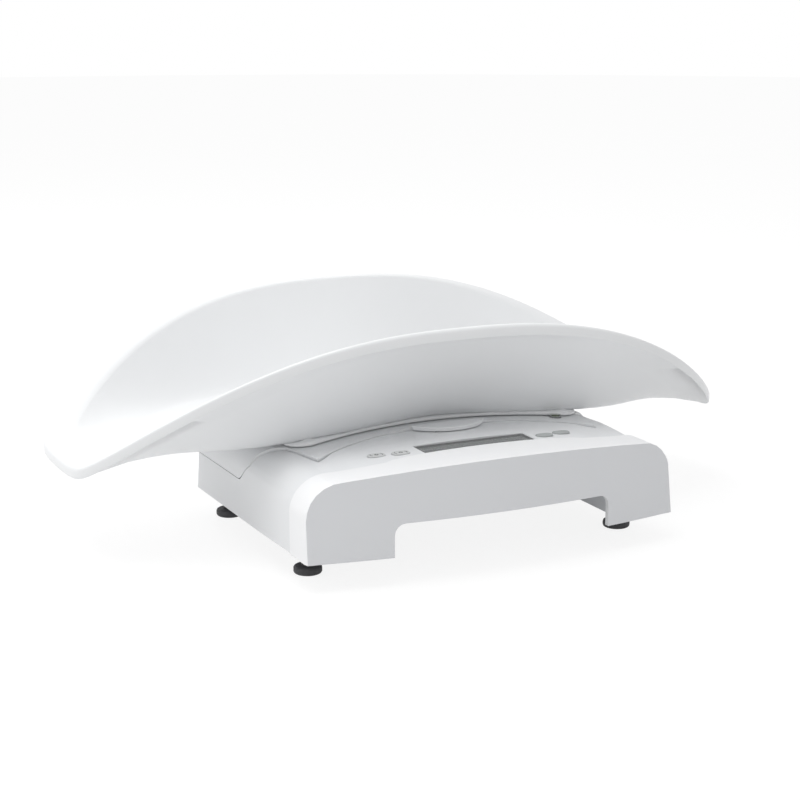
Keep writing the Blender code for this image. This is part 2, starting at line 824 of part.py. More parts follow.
def seat_outline(inset, steps=12):
    """Top view of the tray's seat: hollow front edge, round front corners, straight back."""
    half = SEAT_HALF_WIDTH - inset
    rear = at(SEAT_BACK - inset)
    corner = SEAT_CORNER - inset
    reach = half - corner
    edge = arc_y(reach, inset, SEAT_ARC_RADIUS, SEAT_FRONT)
    points = [(half, rear), (-half, rear)]
    points += corner_arc((-reach, edge + corner), corner, math.pi, SEAT_CORNER_STEPS)[:-1]
    for i in range(steps + 1):
        x = -reach + 2 * reach * i / steps
        points.append((x, arc_y(x, inset, SEAT_ARC_RADIUS, SEAT_FRONT)))
    points += corner_arc((reach, edge + corner), corner, -math.pi / 2, SEAT_CORNER_STEPS)[1:]
    return points


def under_tray(item):
    """Keep the part of an item that lies under the tray's upper face."""
    rings = tray_rings()
    grid = bmesh.new()
    lift = TRAY_WALL / 2
    edge = [[grid.verts.new(p - Vector((0, 0, lift))) for p in ring] for ring in rings[4:-1]]
    middle = grid.verts.new(rings[-1][0] - Vector((0, 0, lift)))
    floor = grid.verts.new((0.0, 0.0, LEG_BOTTOM))
    low = [grid.verts.new((v.co.x, v.co.y, LEG_BOTTOM)) for v in edge[0]]
    for first, second in zip([low] + edge, edge):
        join_rings(grid, first, second)
    join_rings(grid, edge[-1], [middle])
    join_rings(grid, [floor], low)
    block = finish_mesh("under", grid)
    for vertex in block.data.vertices:
        vertex.co.y += TRAY_Y
    return keep(item, block)


def make_tray():
    """The lift-off tray with its seat, locating pegs and the lug of the catch."""
    shell = tray_shell()
    seat = prism("seat", seat_outline(0.0), CORE_TOP, FLOOR_HEIGHT + RIM_LIP, "Z")
    inner = prism("inner", seat_outline(SEAT_WALL), CORE_TOP - OVERRUN, BODY_TOP + OVERRUN, "Z")
    cut(seat, inner, platform_envelope())
    join(shell, under_tray(seat))
    for place in peg_places():
        peg = cylinder("peg", PEG_RADIUS, PEG_TIP, FLOOR_HEIGHT, place, SMALL_SIDES)
        join(shell, under_tray(peg))
    low = (-LUG_HALF_WIDTH, at(LUG_FRONT), slider_bottom())
    lug = box("lug", low, (LUG_HALF_WIDTH, at(LUG_FRONT + LUG_DEPTH), FLOOR_HEIGHT))
    join(shell, under_tray(lug))
    origin = (0.0, TRAY_Y, FLOOR_HEIGHT)
    return finish(tidy(shell), "tray", material("white_tray", WHITE, 0.34), origin)


def platform_envelope():
    """The platform's outline, grown by the clearance under the tray."""
    return body_block(-FIT, SKIRT_BOTTOM)


def plate_profile():
    """Front view of the base plate: leg floors, inner leg walls and ceiling."""
    sheet = PLATE_SHEET
    edge = side_x(PLATE_FLOOR, BAND_STEP + SHELL_WALL) - FIT * 2
    floor = PLATE_FLOOR
    wall = PLATE_WALL_X
    top = PLATE_CEILING
    right = [(edge, floor), (edge, floor + sheet), (wall + sheet, floor + sheet)]
    right += [(wall + sheet, top + sheet)]
    left = [(-x, z) for x, z in reversed(right)]
    return right + left + [(-wall, floor), (-wall, top), (wall, top), (wall, floor)]


def make_base_plate():
    """The folded plate under the housing, with holes for feet, screws and batteries."""
    inset = BAND_STEP + SHELL_WALL + FIT
    low = at(-FRONT_REACH)
    high = at(BACK_REACH)
    plate = prism("plate", plate_profile(), low, high, "Y")
    keep(plate, prism("plan", plan_outline(inset), LEG_BOTTOM, CORE_TOP, "Z"))
    floor = (PLATE_FLOOR - OVERRUN, PLATE_FLOOR + OVERRUN)
    for place in foot_places():
        cut(plate, cylinder("foot", INSERT_RADIUS + FIT, *floor, place))
    for place in post_places():
        cut(plate, cylinder("tap", TAP_RADIUS, *floor, place, SMALL_SIDES))
    ceiling = (PLATE_CEILING - OVERRUN / 2, PLATE_CEILING + OVERRUN / 2)
    for place in cell_screw_places(-1):
        cut(plate, cylinder("hole", M4_HOLE, *ceiling, place, SMALL_SIDES))
    rear = at(BACK_REACH - PLATFORM_WALL - SIDE_GAP - SHELL_WALL - FIT)
    half = PLATE_WALL_X + PLATE_SHEET + FIT
    low = (-half, rear, PLATE_CEILING - FIT)
    cut(plate, box("ledge", low, (half, high, CORE_TOP)))
    x, y = door_half()
    low = (BATTERY_X - x - FIT, at(-y) - FIT, floor[0])
    cut(plate, box("door", low, (BATTERY_X + x + FIT, at(y) + FIT, floor[1])))
    return finish(tidy(plate), "base_plate", material("grey_plate", (0.62, 0.63, 0.65), 0.5))


def foot_places():
    """Where the four feet stand."""
    return [(x, at(y)) for y in (-FOOT_Y, FOOT_Y) for x in (-FOOT_X, FOOT_X)]


def post_places():
    """Where the four plate screws go."""
    return [(x, at(y)) for y in (-POST_Y, POST_Y) for x in (-POST_X, POST_X)]


def cell_screw_places(side):
    """Where the two screws stand at one end of the load cell."""
    x = side * (CELL_LENGTH / 2 - CELL_SCREW_INSET)
    return [(x - side * step * CELL_SCREW_PITCH, at(CELL_Y)) for step in (0, 1)]


def door_half():
    """Half sizes of the battery door."""
    x = BATTERY_PITCH - BOX_WALL
    y = AA_LENGTH + AA_NUB + CONTACT_ROOM
    return x, y


def make_feet():
    """Rubber pads on collared screws that turn in flanged inserts."""
    rubber = material("black_rubber", (0.045, 0.045, 0.05), 0.75)
    collar_look = material("foot_collar", (0.75, 0.76, 0.77), 0.45)
    steel = material("foot_insert", (0.70, 0.71, 0.72), 0.35, 1.0)
    base = PAD_HEIGHT + FIT
    top = base + COLLAR_HEIGHT
    flange = PLATE_FLOOR + PLATE_SHEET + FIT
    face = PAD_RADIUS - PAD_EDGE
    pad = [(0, 0), (face, 0), (PAD_RADIUS, PAD_EDGE), (PAD_RADIUS, PAD_HEIGHT - PAD_EDGE)]
    pad += [(face, PAD_HEIGHT), (0, PAD_HEIGHT)]
    screw = [(0, base), (COLLAR_RADIUS, base), (COLLAR_RADIUS, top), (STUD_RADIUS, top)]
    screw += [(STUD_RADIUS, STUD_TOP), (0, STUD_TOP)]
    bore = STUD_RADIUS + FIT
    sleeve = [(bore, INSERT_BOTTOM), (INSERT_RADIUS, INSERT_BOTTOM), (INSERT_RADIUS, flange)]
    sleeve += [(INSERT_FLANGE, flange), (INSERT_FLANGE, flange + INSERT_FLANGE_HEIGHT)]
    sleeve += [(bore, flange + INSERT_FLANGE_HEIGHT), (bore, INSERT_BOTTOM)]
    for number, place in enumerate(foot_places(), 1):
        origin = (*place, 0.0)
        finish(turned("pad", pad, place), f"foot_pad_{number}", rubber, origin)
        finish(turned("screw", screw, place), f"foot_screw_{number}", collar_look, origin)
        ring = tidy(turned("insert", sleeve, place))
        finish(ring, f"foot_insert_{number}", steel)


def screw_solid(name, head_radius, head, radius, length, place, seat, up=1):
    """A plain screw: a head under its seat and a shank through it, or the other way up."""
    low = seat - up * (head + FIT)
    profile = [(0, low), (head_radius, low), (head_radius, low + up * head)]
    profile += [(radius, low + up * head), (radius, seat + up * length), (0, seat + up * length)]
    return turned(name, profile, place, SMALL_SIDES)


def make_screws():
    """Plate screws, board screws and load cell screws."""
    steel = material("steel_screw", (0.62, 0.63, 0.65), 0.3, 1.0)
    thin = (TAP_HEAD_RADIUS, TAP_HEAD, TAP_SCREW_RADIUS, TAP_LENGTH - TAP_HEAD)
    for number, place in enumerate(post_places(), 1):
        finish(screw_solid("screw", *thin, place, PLATE_FLOOR), f"plate_screw_{number}", steel)
    short = (TAP_HEAD_RADIUS, TAP_HEAD, TAP_SCREW_RADIUS, board_screw_length())
    low = board_top() - BOARD_SHEET
    for number, x in enumerate((-BOARD_SCREW_X, BOARD_SCREW_X), 1):
        place = (x, at(BOARD_SCREW_Y))
        finish(screw_solid("screw", *short, place, low), f"board_screw_{number}", steel)
    thick = (M4_HEAD_RADIUS, M4_HEAD, M4_RADIUS, M4_LENGTH)
    number = 0
    for side, seat in ((-1, PLATE_CEILING), (1, frame_top())):
        for place in cell_screw_places(side):
            number += 1
            length = M4_LENGTH - LOWER_SPACER if side < 0 else M4_LENGTH
            item = screw_solid("screw", *thick[:3], length, place, seat, -side)
            finish(item, f"cell_screw_{number}", steel)


def board_screw_length():
    """Length of a board screw's shank."""
    return BOARD_SHEET + panel_under(BOARD_SCREW_X) - BAND_STEP - board_top()


def cell_bottom():
    """Height of the load cell's lower face."""
    return PLATE_CEILING + PLATE_SHEET + FIT + LOWER_SPACER + FIT


def make_load_cell():
    """The bending bar with its pair of joined holes, its spacers and the metal frame."""
    bright = material("cell_aluminium", (0.78, 0.79, 0.80), 0.35, 1.0)
    low = cell_bottom()
    high = low + CELL_SIZE
    half = CELL_SIZE / 2
    middle = at(CELL_Y)
    bar = box("bar", (-CELL_LENGTH / 2, middle - half, low), (CELL_LENGTH / 2, middle + half, high))
    centre = low + half
    front = middle - CELL_SIZE
    back = middle + CELL_SIZE
    for x in (-CELL_HOLE_SPREAD, CELL_HOLE_SPREAD):
        outline = circle(CELL_HOLE_RADIUS, SMALL_SIDES, (x, centre))
        cut(bar, prism("hole", outline, front, back, "Y"))
    x = CELL_HOLE_SPREAD
    slit = CELL_HOLE_RADIUS / 2
    cut(bar, box("slit", (-x, front, centre - slit), (x, back, centre + slit)))
    for side in (-1, 1):
        for place in cell_screw_places(side):
            cut(bar, cylinder("tap", M4_HOLE, low - FIT, high + FIT, place, SMALL_SIDES))
    finish(tidy(bar), "load_cell", bright)
    steel = material("spacer_steel", (0.55, 0.56, 0.58), 0.4, 1.0)
    make_spacer("lower_spacer", -1, low - FIT - LOWER_SPACER, low - FIT, steel)
    make_spacer("upper_spacer", 1, high + CELL_GAP, FRAME_BOTTOM - FIT, steel)
    make_frame(steel)


def make_spacer(name, side, bottom, top, steel):
    """A block between the load cell and the sheet that it is screwed to."""
    x = side * (CELL_LENGTH - SPACER_LENGTH) / 2
    half = (SPACER_LENGTH / 2, SPACER_WIDTH / 2)
    y = at(CELL_Y)
    block = box(name, (x - half[0], y - half[1], bottom), (x + half[0], y + half[1], top))
    for place in cell_screw_places(side):
        cut(block, cylinder("tap", M4_HOLE, bottom - FIT, top + FIT, place, SMALL_SIDES))
    finish(tidy(block), name, steel)


def make_frame(steel):
    """The metal cross plate between the load cell and the platform."""
    half = FRAME_HALF_LENGTH
    low = (-half, at(FRAME_FRONT), FRAME_BOTTOM)
    plate = box("frame", low, (half, at(FRAME_BACK), frame_top()))
    for side in (-1, 1):
        x = sorted((side * (half - FRAME_WINDOW / 2), side * (half + OVERRUN)))
        low = (x[0], at(CELL_Y) - FRAME_WINDOW / 2, FRAME_BOTTOM - FIT)
        high = (x[1], at(CELL_Y) + FRAME_WINDOW / 2, frame_top() + FIT)
        cut(plate, box("notch", low, high))
    bottom = FRAME_BOTTOM - FIT
    for place in cell_screw_places(1):
        cut(plate, cylinder("tap", M4_HOLE, bottom, frame_top() + FIT, place, SMALL_SIDES))
    finish(tidy(plate), "platform_frame", steel)


def make_display():
    """Window, glass and carrier, one above the other."""
    low = WINDOW_TOP - WINDOW_SHEET
    clear = material("clear_window", (0.9, 0.92, 0.93), 0.08, 0.0, 0.3)
    pane = display_box("window", FIT, low, WINDOW_TOP)
    finish(pane, "display_window", clear, smooth=False)
    low -= 2 * FIT + LEDGE_SHEET + LCD_SHEET
    grey = material("lcd_grey", (0.42, 0.46, 0.42), 0.25)
    glass = display_box("lcd", FIT, low, low + LCD_SHEET)
    finish(glass, "lcd_panel", grey, smooth=False)
    top = low - FIT
    low = top - CARRIER_HEIGHT
    carrier = display_box("carrier", FIT, low, top)
    cut(carrier, display_box("inner", FIT + CARRIER_WALL, low - FIT, top + FIT))
    finish(tidy(carrier), "display_carrier", material("carrier_white", (0.8, 0.8, 0.8), 0.5))


def make_board():
    """The circuit board under the panel."""
    top = board_top()
    half = BOARD_HALF_LENGTH
    board = box("board", (-half, at(BOARD_FRONT), top - BOARD_SHEET), (half, at(BOARD_BACK), top))
    for x in (-BOARD_SCREW_X, BOARD_SCREW_X):
        place = (x, at(BOARD_SCREW_Y))
        cut(board, cylinder("hole", TAP_RADIUS, top - BOARD_SHEET - FIT, top + FIT, place, SMALL_SIDES))
    finish(tidy(board), "main_board", material("board_green", (0.05, 0.25, 0.13), 0.45))


def make_keys():
    """Four oval keys, held from below by a flange, over four tact switches."""
    grey = material("key_grey", (0.60, 0.63, 0.61), 0.5)
    black = material("switch_black", (0.06, 0.06, 0.06), 0.5)
    base = board_top() + FIT
    plunger = base + SWITCH_HEIGHT
    tip = plunger + PLUNGER_HEIGHT
    foot = tip + KEY_TRAVEL + FIT
    half = SWITCH_SIZE / 2
    for number, place in enumerate(key_places(), 1):
        x, y = place
        under = panel_under(abs(x) + KEY_HALF_LENGTH) - FIT
        top = crown(x, BAND_STEP) + KEY_PROUD
        cap = prism("key", oval(KEY_HALF_LENGTH, KEY_HALF_DEPTH, place), foot, top, "Z")
        rim = oval(KEY_HALF_LENGTH + KEY_FLANGE, KEY_HALF_DEPTH + KEY_FLANGE, place)
        join(cap, prism("rim", rim, foot, under, "Z"))
        finish(tidy(cap), f"button_{number}", grey, (*place, top))
        body = box("switch", (x - half, y - half, base), (x + half, y + half, plunger))
        join(body, cylinder("plunger", PLUNGER_RADIUS, plunger - FIT, tip, place, SMALL_SIDES))
        finish(tidy(body), f"key_switch_{number}", black)


def release_back(x):
    """World Y of the release key's back edge, clear of the platform when pressed."""
    return arc_y(x, -RELEASE_TRAVEL - FIT)


def release_outline(steps=14):
    """Half-moon outline of the release key, bowed to the front."""
    half = RELEASE_HALF_WIDTH
    tip = release_back(RELEASE_X + half)
    depth = tip - at(RELEASE_FRONT)
    radius = (half**2 + depth**2) / (2 * depth)
    centre = at(RELEASE_FRONT) + radius
    spots = [half * (2 * i / steps - 1) for i in range(steps + 1)]
    front = [(RELEASE_X + x, centre - math.sqrt(radius**2 - x**2)) for x in spots]
    back = [(RELEASE_X + x, release_back(RELEASE_X + x)) for x in reversed(spots[:-1])]
    return front + back


def make_release():
    """Half-moon key, the slider under it, and the spring that returns both."""
    white = material("white_release", WHITE, 0.34)
    grey = material("slider_grey", (0.5, 0.5, 0.52), 0.5)
    origin = (0.0, release_back(0.0))
    key = prism("key", release_outline(), RELEASE_BOTTOM, RELEASE_TOP, "Z")
    finish(key, "release_button", white, (*origin, RELEASE_TOP))
    low = slider_bottom()
    high = low + SLIDER_SHEET
    rear = at(SLIDER_BACK)
    neck = NECK_HALF_WIDTH
    wide = SLIDER_HALF_WIDTH
    bar = box("slider", (-neck, at(NECK_FRONT), low), (neck, rear, high))
    shoulder = at(NECK_BACK) + RELEASE_TRAVEL + OVERRUN
    join(bar, box("wide", (-wide, shoulder, low), (wide, rear, high)))
    top = RELEASE_BOTTOM - FIT
    join(bar, box("neck", (-neck, at(NECK_FRONT), low), (neck, at(NECK_BACK), top)))
    front = at(LUG_FRONT) - RELEASE_TRAVEL - FIT
    back = at(LUG_FRONT + LUG_DEPTH) + FIT
    side = LUG_HALF_WIDTH + FIT
    cut(bar, box("catch", (-side, front, low - FIT), (side, back, high + FIT)))
    finish(tidy(bar), "release_slider", grey, (*origin, low))
    make_spring((low + high) / 2)


def make_spring(height):
    """A coil spring along Y, between the slider and the platform's stop."""
    curve = bpy.data.curves.new("spring", "CURVE")
    curve.dimensions = "3D"
    curve.bevel_depth = SPRING_WIRE_RADIUS
    curve.bevel_resolution = 1
    curve.use_fill_caps = True
    line = curve.splines.new("POLY")
    per_turn = 8
    count = SPRING_TURNS * per_turn + 1
    line.points.add(count - 1)
    start = at(SLIDER_BACK) + FIT + SPRING_WIRE_RADIUS
    run = SPRING_LENGTH - 2 * (FIT + SPRING_WIRE_RADIUS)
    for i, point in enumerate(line.points):
        angle = math.tau * i / per_turn
        x = SPRING_COIL_RADIUS * math.cos(angle)
        z = height + SPRING_COIL_RADIUS * math.sin(angle)
        point.co = (x, start + run * i / (count - 1), z, 1.0)
    item = bpy.data.objects.new("spring", curve)
    bpy.context.scene.collection.objects.link(item)
    steel = material("spring_steel", (0.6, 0.6, 0.62), 0.3, 1.0)
    finish(curve_to_mesh(item), "release_spring", steel)


def curve_to_mesh(item):
    """Replace a curve object by its mesh."""
    graph = bpy.context.evaluated_depsgraph_get()
    mesh = bpy.data.meshes.new_from_object(item.evaluated_get(graph))
    bpy.data.objects.remove(item, do_unlink=True)
    made = add_object("tube", mesh)
    grid = bmesh.new()
    grid.from_mesh(mesh)
    bmesh.ops.remove_doubles(grid, verts=grid.verts, dist=FIT / 100)
    bmesh.ops.recalc_face_normals(grid, faces=grid.faces)
    grid.to_mesh(mesh)
    grid.free()
    return made


def make_level():
    """The spirit level: a vial in a flanged sleeve."""
    place = (LEVEL_X, at(LEVEL_Y))
    outer = LEVEL_RADIUS + LEVEL_SLEEVE
    inner = LEVEL_RADIUS + FIT
    lip = outer + BEZEL_LIP
    seat = crown(LEVEL_X - lip, 0.0) + FIT
    low = seat - LEVEL_HEIGHT
    top = seat + BEZEL_HEIGHT
    sleeve = [(inner, low), (outer, low), (outer, seat), (lip, seat), (lip, top), (inner, top)]
    sleeve.append((inner, low))
    grey = material("bezel_grey", (0.45, 0.46, 0.47), 0.4)
    finish(tidy(turned("sleeve", sleeve, place)), "level_bezel", grey)
    vial = cylinder("vial", LEVEL_RADIUS, low, seat, place)
    finish(vial, "bubble_level", material("level_fluid", (0.25, 0.33, 0.12), 0.1))


def lying(name, radius, spot, front, back):
    """A cylinder that lies along Y, at a spot of (x, z)."""
    return prism(name, circle(radius, SMALL_SIDES, spot), front, back, "Y")


def battery_axis():
    """Height of the batteries' axes."""
    return PLATE_FLOOR + PLATE_SHEET + 2 * FIT + CELL_RADIUS


def make_batteries():
    """Four cells in two rows, their box, contacts and the hinged door."""
    bottom = PLATE_FLOOR + PLATE_SHEET + FIT
    roof = battery_axis() + CELL_RADIUS + FIT
    x = BATTERY_PITCH + FIT
    y = AA_LENGTH + AA_NUB + CONTACT_ROOM + FIT
    outer = (x + BOX_WALL, y + BOX_WALL)
    low = (BATTERY_X - outer[0], at(-outer[1]), bottom)
    shell = box("box", low, (BATTERY_X + outer[0], at(outer[1]), roof + BOX_WALL))
    low = (BATTERY_X - x, at(-y), bottom - FIT)
    cut(shell, box("room", low, (BATTERY_X + x, at(y), roof)))
    finish(tidy(shell), "battery_box", material("box_grey", (0.35, 0.36, 0.38), 0.55))
    jacket = material("cell_jacket", (0.10, 0.22, 0.42), 0.35)
    number = 0
    for side in (-1, 1):
        spot = (BATTERY_X + side * BATTERY_PITCH / 2, battery_axis())
        for row in (-1, 0):
            number += 1
            start = at(row * (AA_LENGTH + AA_NUB)) + FIT
            end = start + AA_LENGTH - FIT
            can = lying("can", CELL_RADIUS, spot, start, end)
            nub = lying("nub", AA_NUB_RADIUS, spot, start + FIT, end + AA_NUB - FIT)
            finish(tidy(join(can, nub)), f"battery_{number}", jacket)
    make_contacts(x, y, bottom + FIT, roof - FIT)
    make_door()


def make_contacts(x, y, bottom, top):
    """Contact sheets at both ends of the battery box, with a bump for each row."""
    nickel = material("contact_nickel", (0.75, 0.74, 0.70), 0.3, 1.0)
    wall = y - FIT
    for side, name in ((-1, "contact_front"), (1, "contact_back")):
        sheet = sorted((side * wall, side * (wall - CONTACT_SHEET)))
        low = (BATTERY_X - x + FIT, at(sheet[0]), bottom)
        plate = box("contact", low, (BATTERY_X + x - FIT, at(sheet[1]), top))
        edge = side * (AA_LENGTH + AA_NUB + 2 * FIT)
        bump = sorted((edge, side * (wall - CONTACT_SHEET / 2)))
        for shift in (-BATTERY_PITCH / 2, BATTERY_PITCH / 2):
            spot = (BATTERY_X + shift, battery_axis())
            join(plate, lying("bump", AA_NUB_RADIUS, spot, at(bump[0]), at(bump[1])))
        finish(tidy(plate), name, nickel)


def make_door():
    """The battery door, flush in the left leg's floor, hinged on its inner edge."""
    half = door_half()
    low = (BATTERY_X - half[0], at(-half[1]), PLATE_FLOOR)
    door = box("door", low, (BATTERY_X + half[0], at(half[1]), PLATE_FLOOR + DOOR_SHEET))
    origin = (BATTERY_X + half[0], at(0.0), PLATE_FLOOR)
    grey = material("door_grey", (0.62, 0.63, 0.65), 0.5)
    finish(door, "battery_door", grey, origin, smooth=False)


def lead_route():
    """Chosen points of the lead, from the load cell's fixed end to the board."""
    start = -CELL_LENGTH / 2 - FIT
    middle = cell_bottom() + CELL_SIZE / 2
    end = board_top() - BOARD_SHEET - FIT
    side = start - CELL_SIZE
    return [
        (start, at(CELL_Y), middle),
        (start - CELL_SIZE / 2, at(CELL_Y), middle),
        (side, at(CELL_Y) - CELL_SIZE, middle - CELL_SIZE / 4),
        (side, at(FRAME_FRONT), middle - CELL_SIZE / 4),
        (side + CELL_SIZE, at(BOARD_BACK) + CELL_SIZE, middle - CELL_SIZE / 4),
        (side + CELL_SIZE, at(BOARD_BACK) - CELL_SIZE / 2, middle),
        (side + CELL_SIZE, at(BOARD_BACK) - CELL_SIZE, end - CELL_SIZE / 4),
        (side + CELL_SIZE, at(BOARD_BACK) - CELL_SIZE, end),
    ]


def smooth_route(places, steps):
    """Points of a smooth curve through the chosen places."""
    spots = [Vector(p) for p in places]
    spots = [spots[0]] + spots + [spots[-1]]
    points = []
    for a, b, c, d in zip(spots, spots[1:], spots[2:], spots[3:]):
        for i in range(steps):
            t = i / steps
            point = 2 * b + (c - a) * t + (2 * a - 5 * b + 4 * c - d) * t**2
            points.append((point + (3 * b - a - 3 * c + d) * t**3) / 2)
    return points + [spots[-1]]


def make_lead():
    """The lead from the load cell to the circuit board."""
    curve = bpy.data.curves.new("lead", "CURVE")
    curve.dimensions = "3D"
    curve.bevel_depth = LEAD_RADIUS
    curve.bevel_resolution = 2
    curve.use_fill_caps = True
    points = smooth_route(lead_route(), LEAD_STEPS)
    line = curve.splines.new("POLY")
    line.points.add(len(points) - 1)
    for spot, point in zip(line.points, points):
        spot.co = (*point, 1.0)
    item = bpy.data.objects.new("lead", curve)
    bpy.context.scene.collection.objects.link(item)
    finish(curve_to_mesh(item), "cell_lead", material("lead_grey", (0.25, 0.25, 0.27), 0.6))


def main():
    """Model every piece in place."""
    clear_scene()
    make_housing()
    make_platform()
    make_tray()
    make_base_plate()
    make_feet()
    make_load_cell()
    make_screws()
    make_display()
    make_board()
    make_keys()
    make_release()
    make_level()
    make_batteries()
    make_lead()


if __name__ == "__main__":
    main()
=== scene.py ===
"""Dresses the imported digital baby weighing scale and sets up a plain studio."""

import json
import logging
import math
from collections.abc import Callable, Sequence
from dataclasses import dataclass, field
from enum import Enum
from functools import cache

import bmesh
import bpy
from mathutils import Matrix, Vector


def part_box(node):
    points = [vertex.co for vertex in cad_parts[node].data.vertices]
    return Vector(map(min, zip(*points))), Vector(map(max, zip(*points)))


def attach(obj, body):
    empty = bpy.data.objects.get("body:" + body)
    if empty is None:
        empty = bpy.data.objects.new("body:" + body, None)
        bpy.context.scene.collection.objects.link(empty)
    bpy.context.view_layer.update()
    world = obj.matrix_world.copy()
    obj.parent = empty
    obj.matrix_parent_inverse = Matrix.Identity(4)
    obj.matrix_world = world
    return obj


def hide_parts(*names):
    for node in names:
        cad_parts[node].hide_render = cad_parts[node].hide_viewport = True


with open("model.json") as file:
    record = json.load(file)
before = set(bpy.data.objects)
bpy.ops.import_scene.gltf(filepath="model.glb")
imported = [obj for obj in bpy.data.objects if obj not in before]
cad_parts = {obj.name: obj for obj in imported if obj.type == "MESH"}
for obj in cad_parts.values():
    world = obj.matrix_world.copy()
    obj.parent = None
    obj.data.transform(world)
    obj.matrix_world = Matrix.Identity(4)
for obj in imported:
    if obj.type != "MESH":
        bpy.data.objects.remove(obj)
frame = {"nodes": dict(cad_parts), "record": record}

log = logging.getLogger("scale")

Colour = tuple[float, float, float]
Spot = tuple[float, float, float]
Link = tuple[bpy.types.Node, str | int, bpy.types.Node, str | int]
Values = dict[str | int, object]
Vert = bmesh.types.BMVert
Ring = Sequence[Vector]

FEET_Y = -0.0203  # middle of the four feet
TRAY_Y = 0.0317  # middle line of the tray
MERGE = 2e-5  # points nearer than this are one
SKIN = 0.0030  # anything less deep belongs to a shell's outer face
CREASE = 34.0  # degrees above which a shell's edge is rounded
SPARED = 0.05  # share of the rounding that the seam's edges get
PRINT_SHEET = 0.00006
SEGMENT_SHEET = 0.00008
FEET = (1, 2, 3, 4)


def ease(value: float) -> float:
    """Turn a share into one that starts and ends softly."""
    share = min(1.0, max(0.0, value))
    return share * share * (3 - 2 * share)


class Wires:
    """Lays out the nodes of one shader tree."""

    def __init__(self, tree: bpy.types.NodeTree) -> None:
        """Keep the tree."""
        self.tree = tree

    @classmethod
    def surface(cls, name: str) -> tuple["Wires", bpy.types.Material, bpy.types.Node]:
        """Start a material, and give its wires, itself and its shader."""
        made = bpy.data.materials.new(name)
        made.use_nodes = True
        return cls(made.node_tree), made, made.node_tree.nodes["Principled BSDF"]

    @staticmethod
    def put(node: bpy.types.Node, values: Values) -> None:
        """Set a node's input values, by name or place."""
        for key, value in values.items():
            node.inputs[key].default_value = value

    def node(self, kind: str, values: Values | None = None, **fields: object) -> bpy.types.Node:
        """Add a node.

        Args:
            kind: its type, without the ShaderNode at the start.
            values: values of its inputs.
            **fields: its plain attributes.

        Returns:
            The new node.
        """
        node = self.tree.nodes.new(f"ShaderNode{kind}")
        for name, value in fields.items():
            setattr(node, name, value)
        self.put(node, values or {})
        return node

    def relief(self, shader: bpy.types.Node, scales: Values, low: float, high: float) -> tuple:
        """Give a shader a fine relief and a gloss that varies with it.

        Args:
            shader: the Principled shader.
            scales: values of the grain group's inputs.
            low: the lowest roughness.
            high: the highest roughness.

        Returns:
            The grain's node and the gloss's node.
        """
        grain = self.node("Group", scales, node_tree=GroupKit.grain())
        gloss = self.node("MapRange", {"To Min": low, "To Max": high})
        self.join((grain, "Mask", gloss, "Value"), (gloss, "Result", shader, "Roughness"))
        self.join((grain, "Normal", shader, "Normal"))
        return grain, gloss

    def join(self, *links: Link) -> None:
        """Link sockets, each link given as a node, its output, a node and its input."""
        for start, output, end, socket in links:
            self.tree.links.new(start.outputs[output], end.inputs[socket])


class GroupKit:
    """Builds each shared effect once, as a shader node group."""

    @staticmethod
    def blank(name: str, inputs: dict[str, float], outputs: dict[str, str]) -> tuple:
        """Start a group with named sockets.

        Args:
            name: the group's name.
            inputs: first value of each float input.
            outputs: socket type of each output, without the NodeSocket at the start.

        Returns:
            The group's wires, its input node and its output node.
        """
        tree = bpy.data.node_groups.new(name, "ShaderNodeTree")
        for title, value in inputs.items():
            socket = tree.interface.new_socket(title, in_out="INPUT", socket_type="NodeSocketFloat")
            socket.default_value = value
        for title, kind in outputs.items():
            tree.interface.new_socket(title, in_out="OUTPUT", socket_type=f"NodeSocket{kind}")
        return Wires(tree), tree.nodes.new("NodeGroupInput"), tree.nodes.new("NodeGroupOutput")

    @staticmethod
    @cache
    def grain() -> bpy.types.NodeTree:
        """Fine spark-eroded grain of a mould, with a slow drift in shade.

        Returns:
            The group, with inputs Scale, Depth and Drift Scale, and outputs Normal, Mask and Drift.
        """
        wires, start, end = GroupKit.blank(
            "mould_grain",
            {"Scale": 900.0, "Depth": 0.05, "Drift Scale": 9.0},
            {"Normal": "Vector", "Mask": "Float", "Drift": "Float"},
        )
        place = wires.node("TexCoord")
        fine = wires.node("TexNoise", {"Detail": 3.0, "Roughness": 0.6})
        slow = wires.node("TexNoise", {"Detail": 2.0})
        bump = wires.node("Bump", {"Distance": 0.0002})
        wires.join(
            (place, "Object", fine, "Vector"), (start, "Scale", fine, "Scale"),
            (place, "Object", slow, "Vector"), (start, "Drift Scale", slow, "Scale"),
            (start, "Depth", bump, "Strength"), (fine, "Fac", bump, "Height"),
            (bump, "Normal", end, "Normal"), (fine, "Fac", end, "Mask"), (slow, "Fac", end, "Drift"),
        )
        return wires.tree

    @staticmethod
    @cache
    def strokes() -> bpy.types.NodeTree:
        """Fine straight strokes along X, as brushing or handling leaves.

        Returns:
            The group, with inputs Fineness, Length and Share, and the output Mask.
        """
        wires, start, end = GroupKit.blank(
            "fine_strokes", {"Fineness": 1400.0, "Length": 60.0, "Share": 0.5}, {"Mask": "Float"}
        )
        place = wires.node("TexCoord")
        parts = wires.node("SeparateXYZ")
        whole = wires.node("CombineXYZ")
        noise = wires.node("TexNoise", {"Scale": 1.0, "Detail": 2.0})
        gate = wires.node("MapRange", {"From Max": 0.75})
        for axis, size in (("X", "Length"), ("Y", "Fineness"), ("Z", "Fineness")):
            scaled = wires.node("Math", operation="MULTIPLY")
            wires.join((parts, axis, scaled, 0), (start, size, scaled, 1), (scaled, "Value", whole, axis))
        wires.join(
            (place, "Object", parts, "Vector"), (whole, "Vector", noise, "Vector"),
            (noise, "Fac", gate, "Value"), (start, "Share", gate, "From Min"),
            (gate, "Result", end, "Mask"),
        )
        return wires.tree


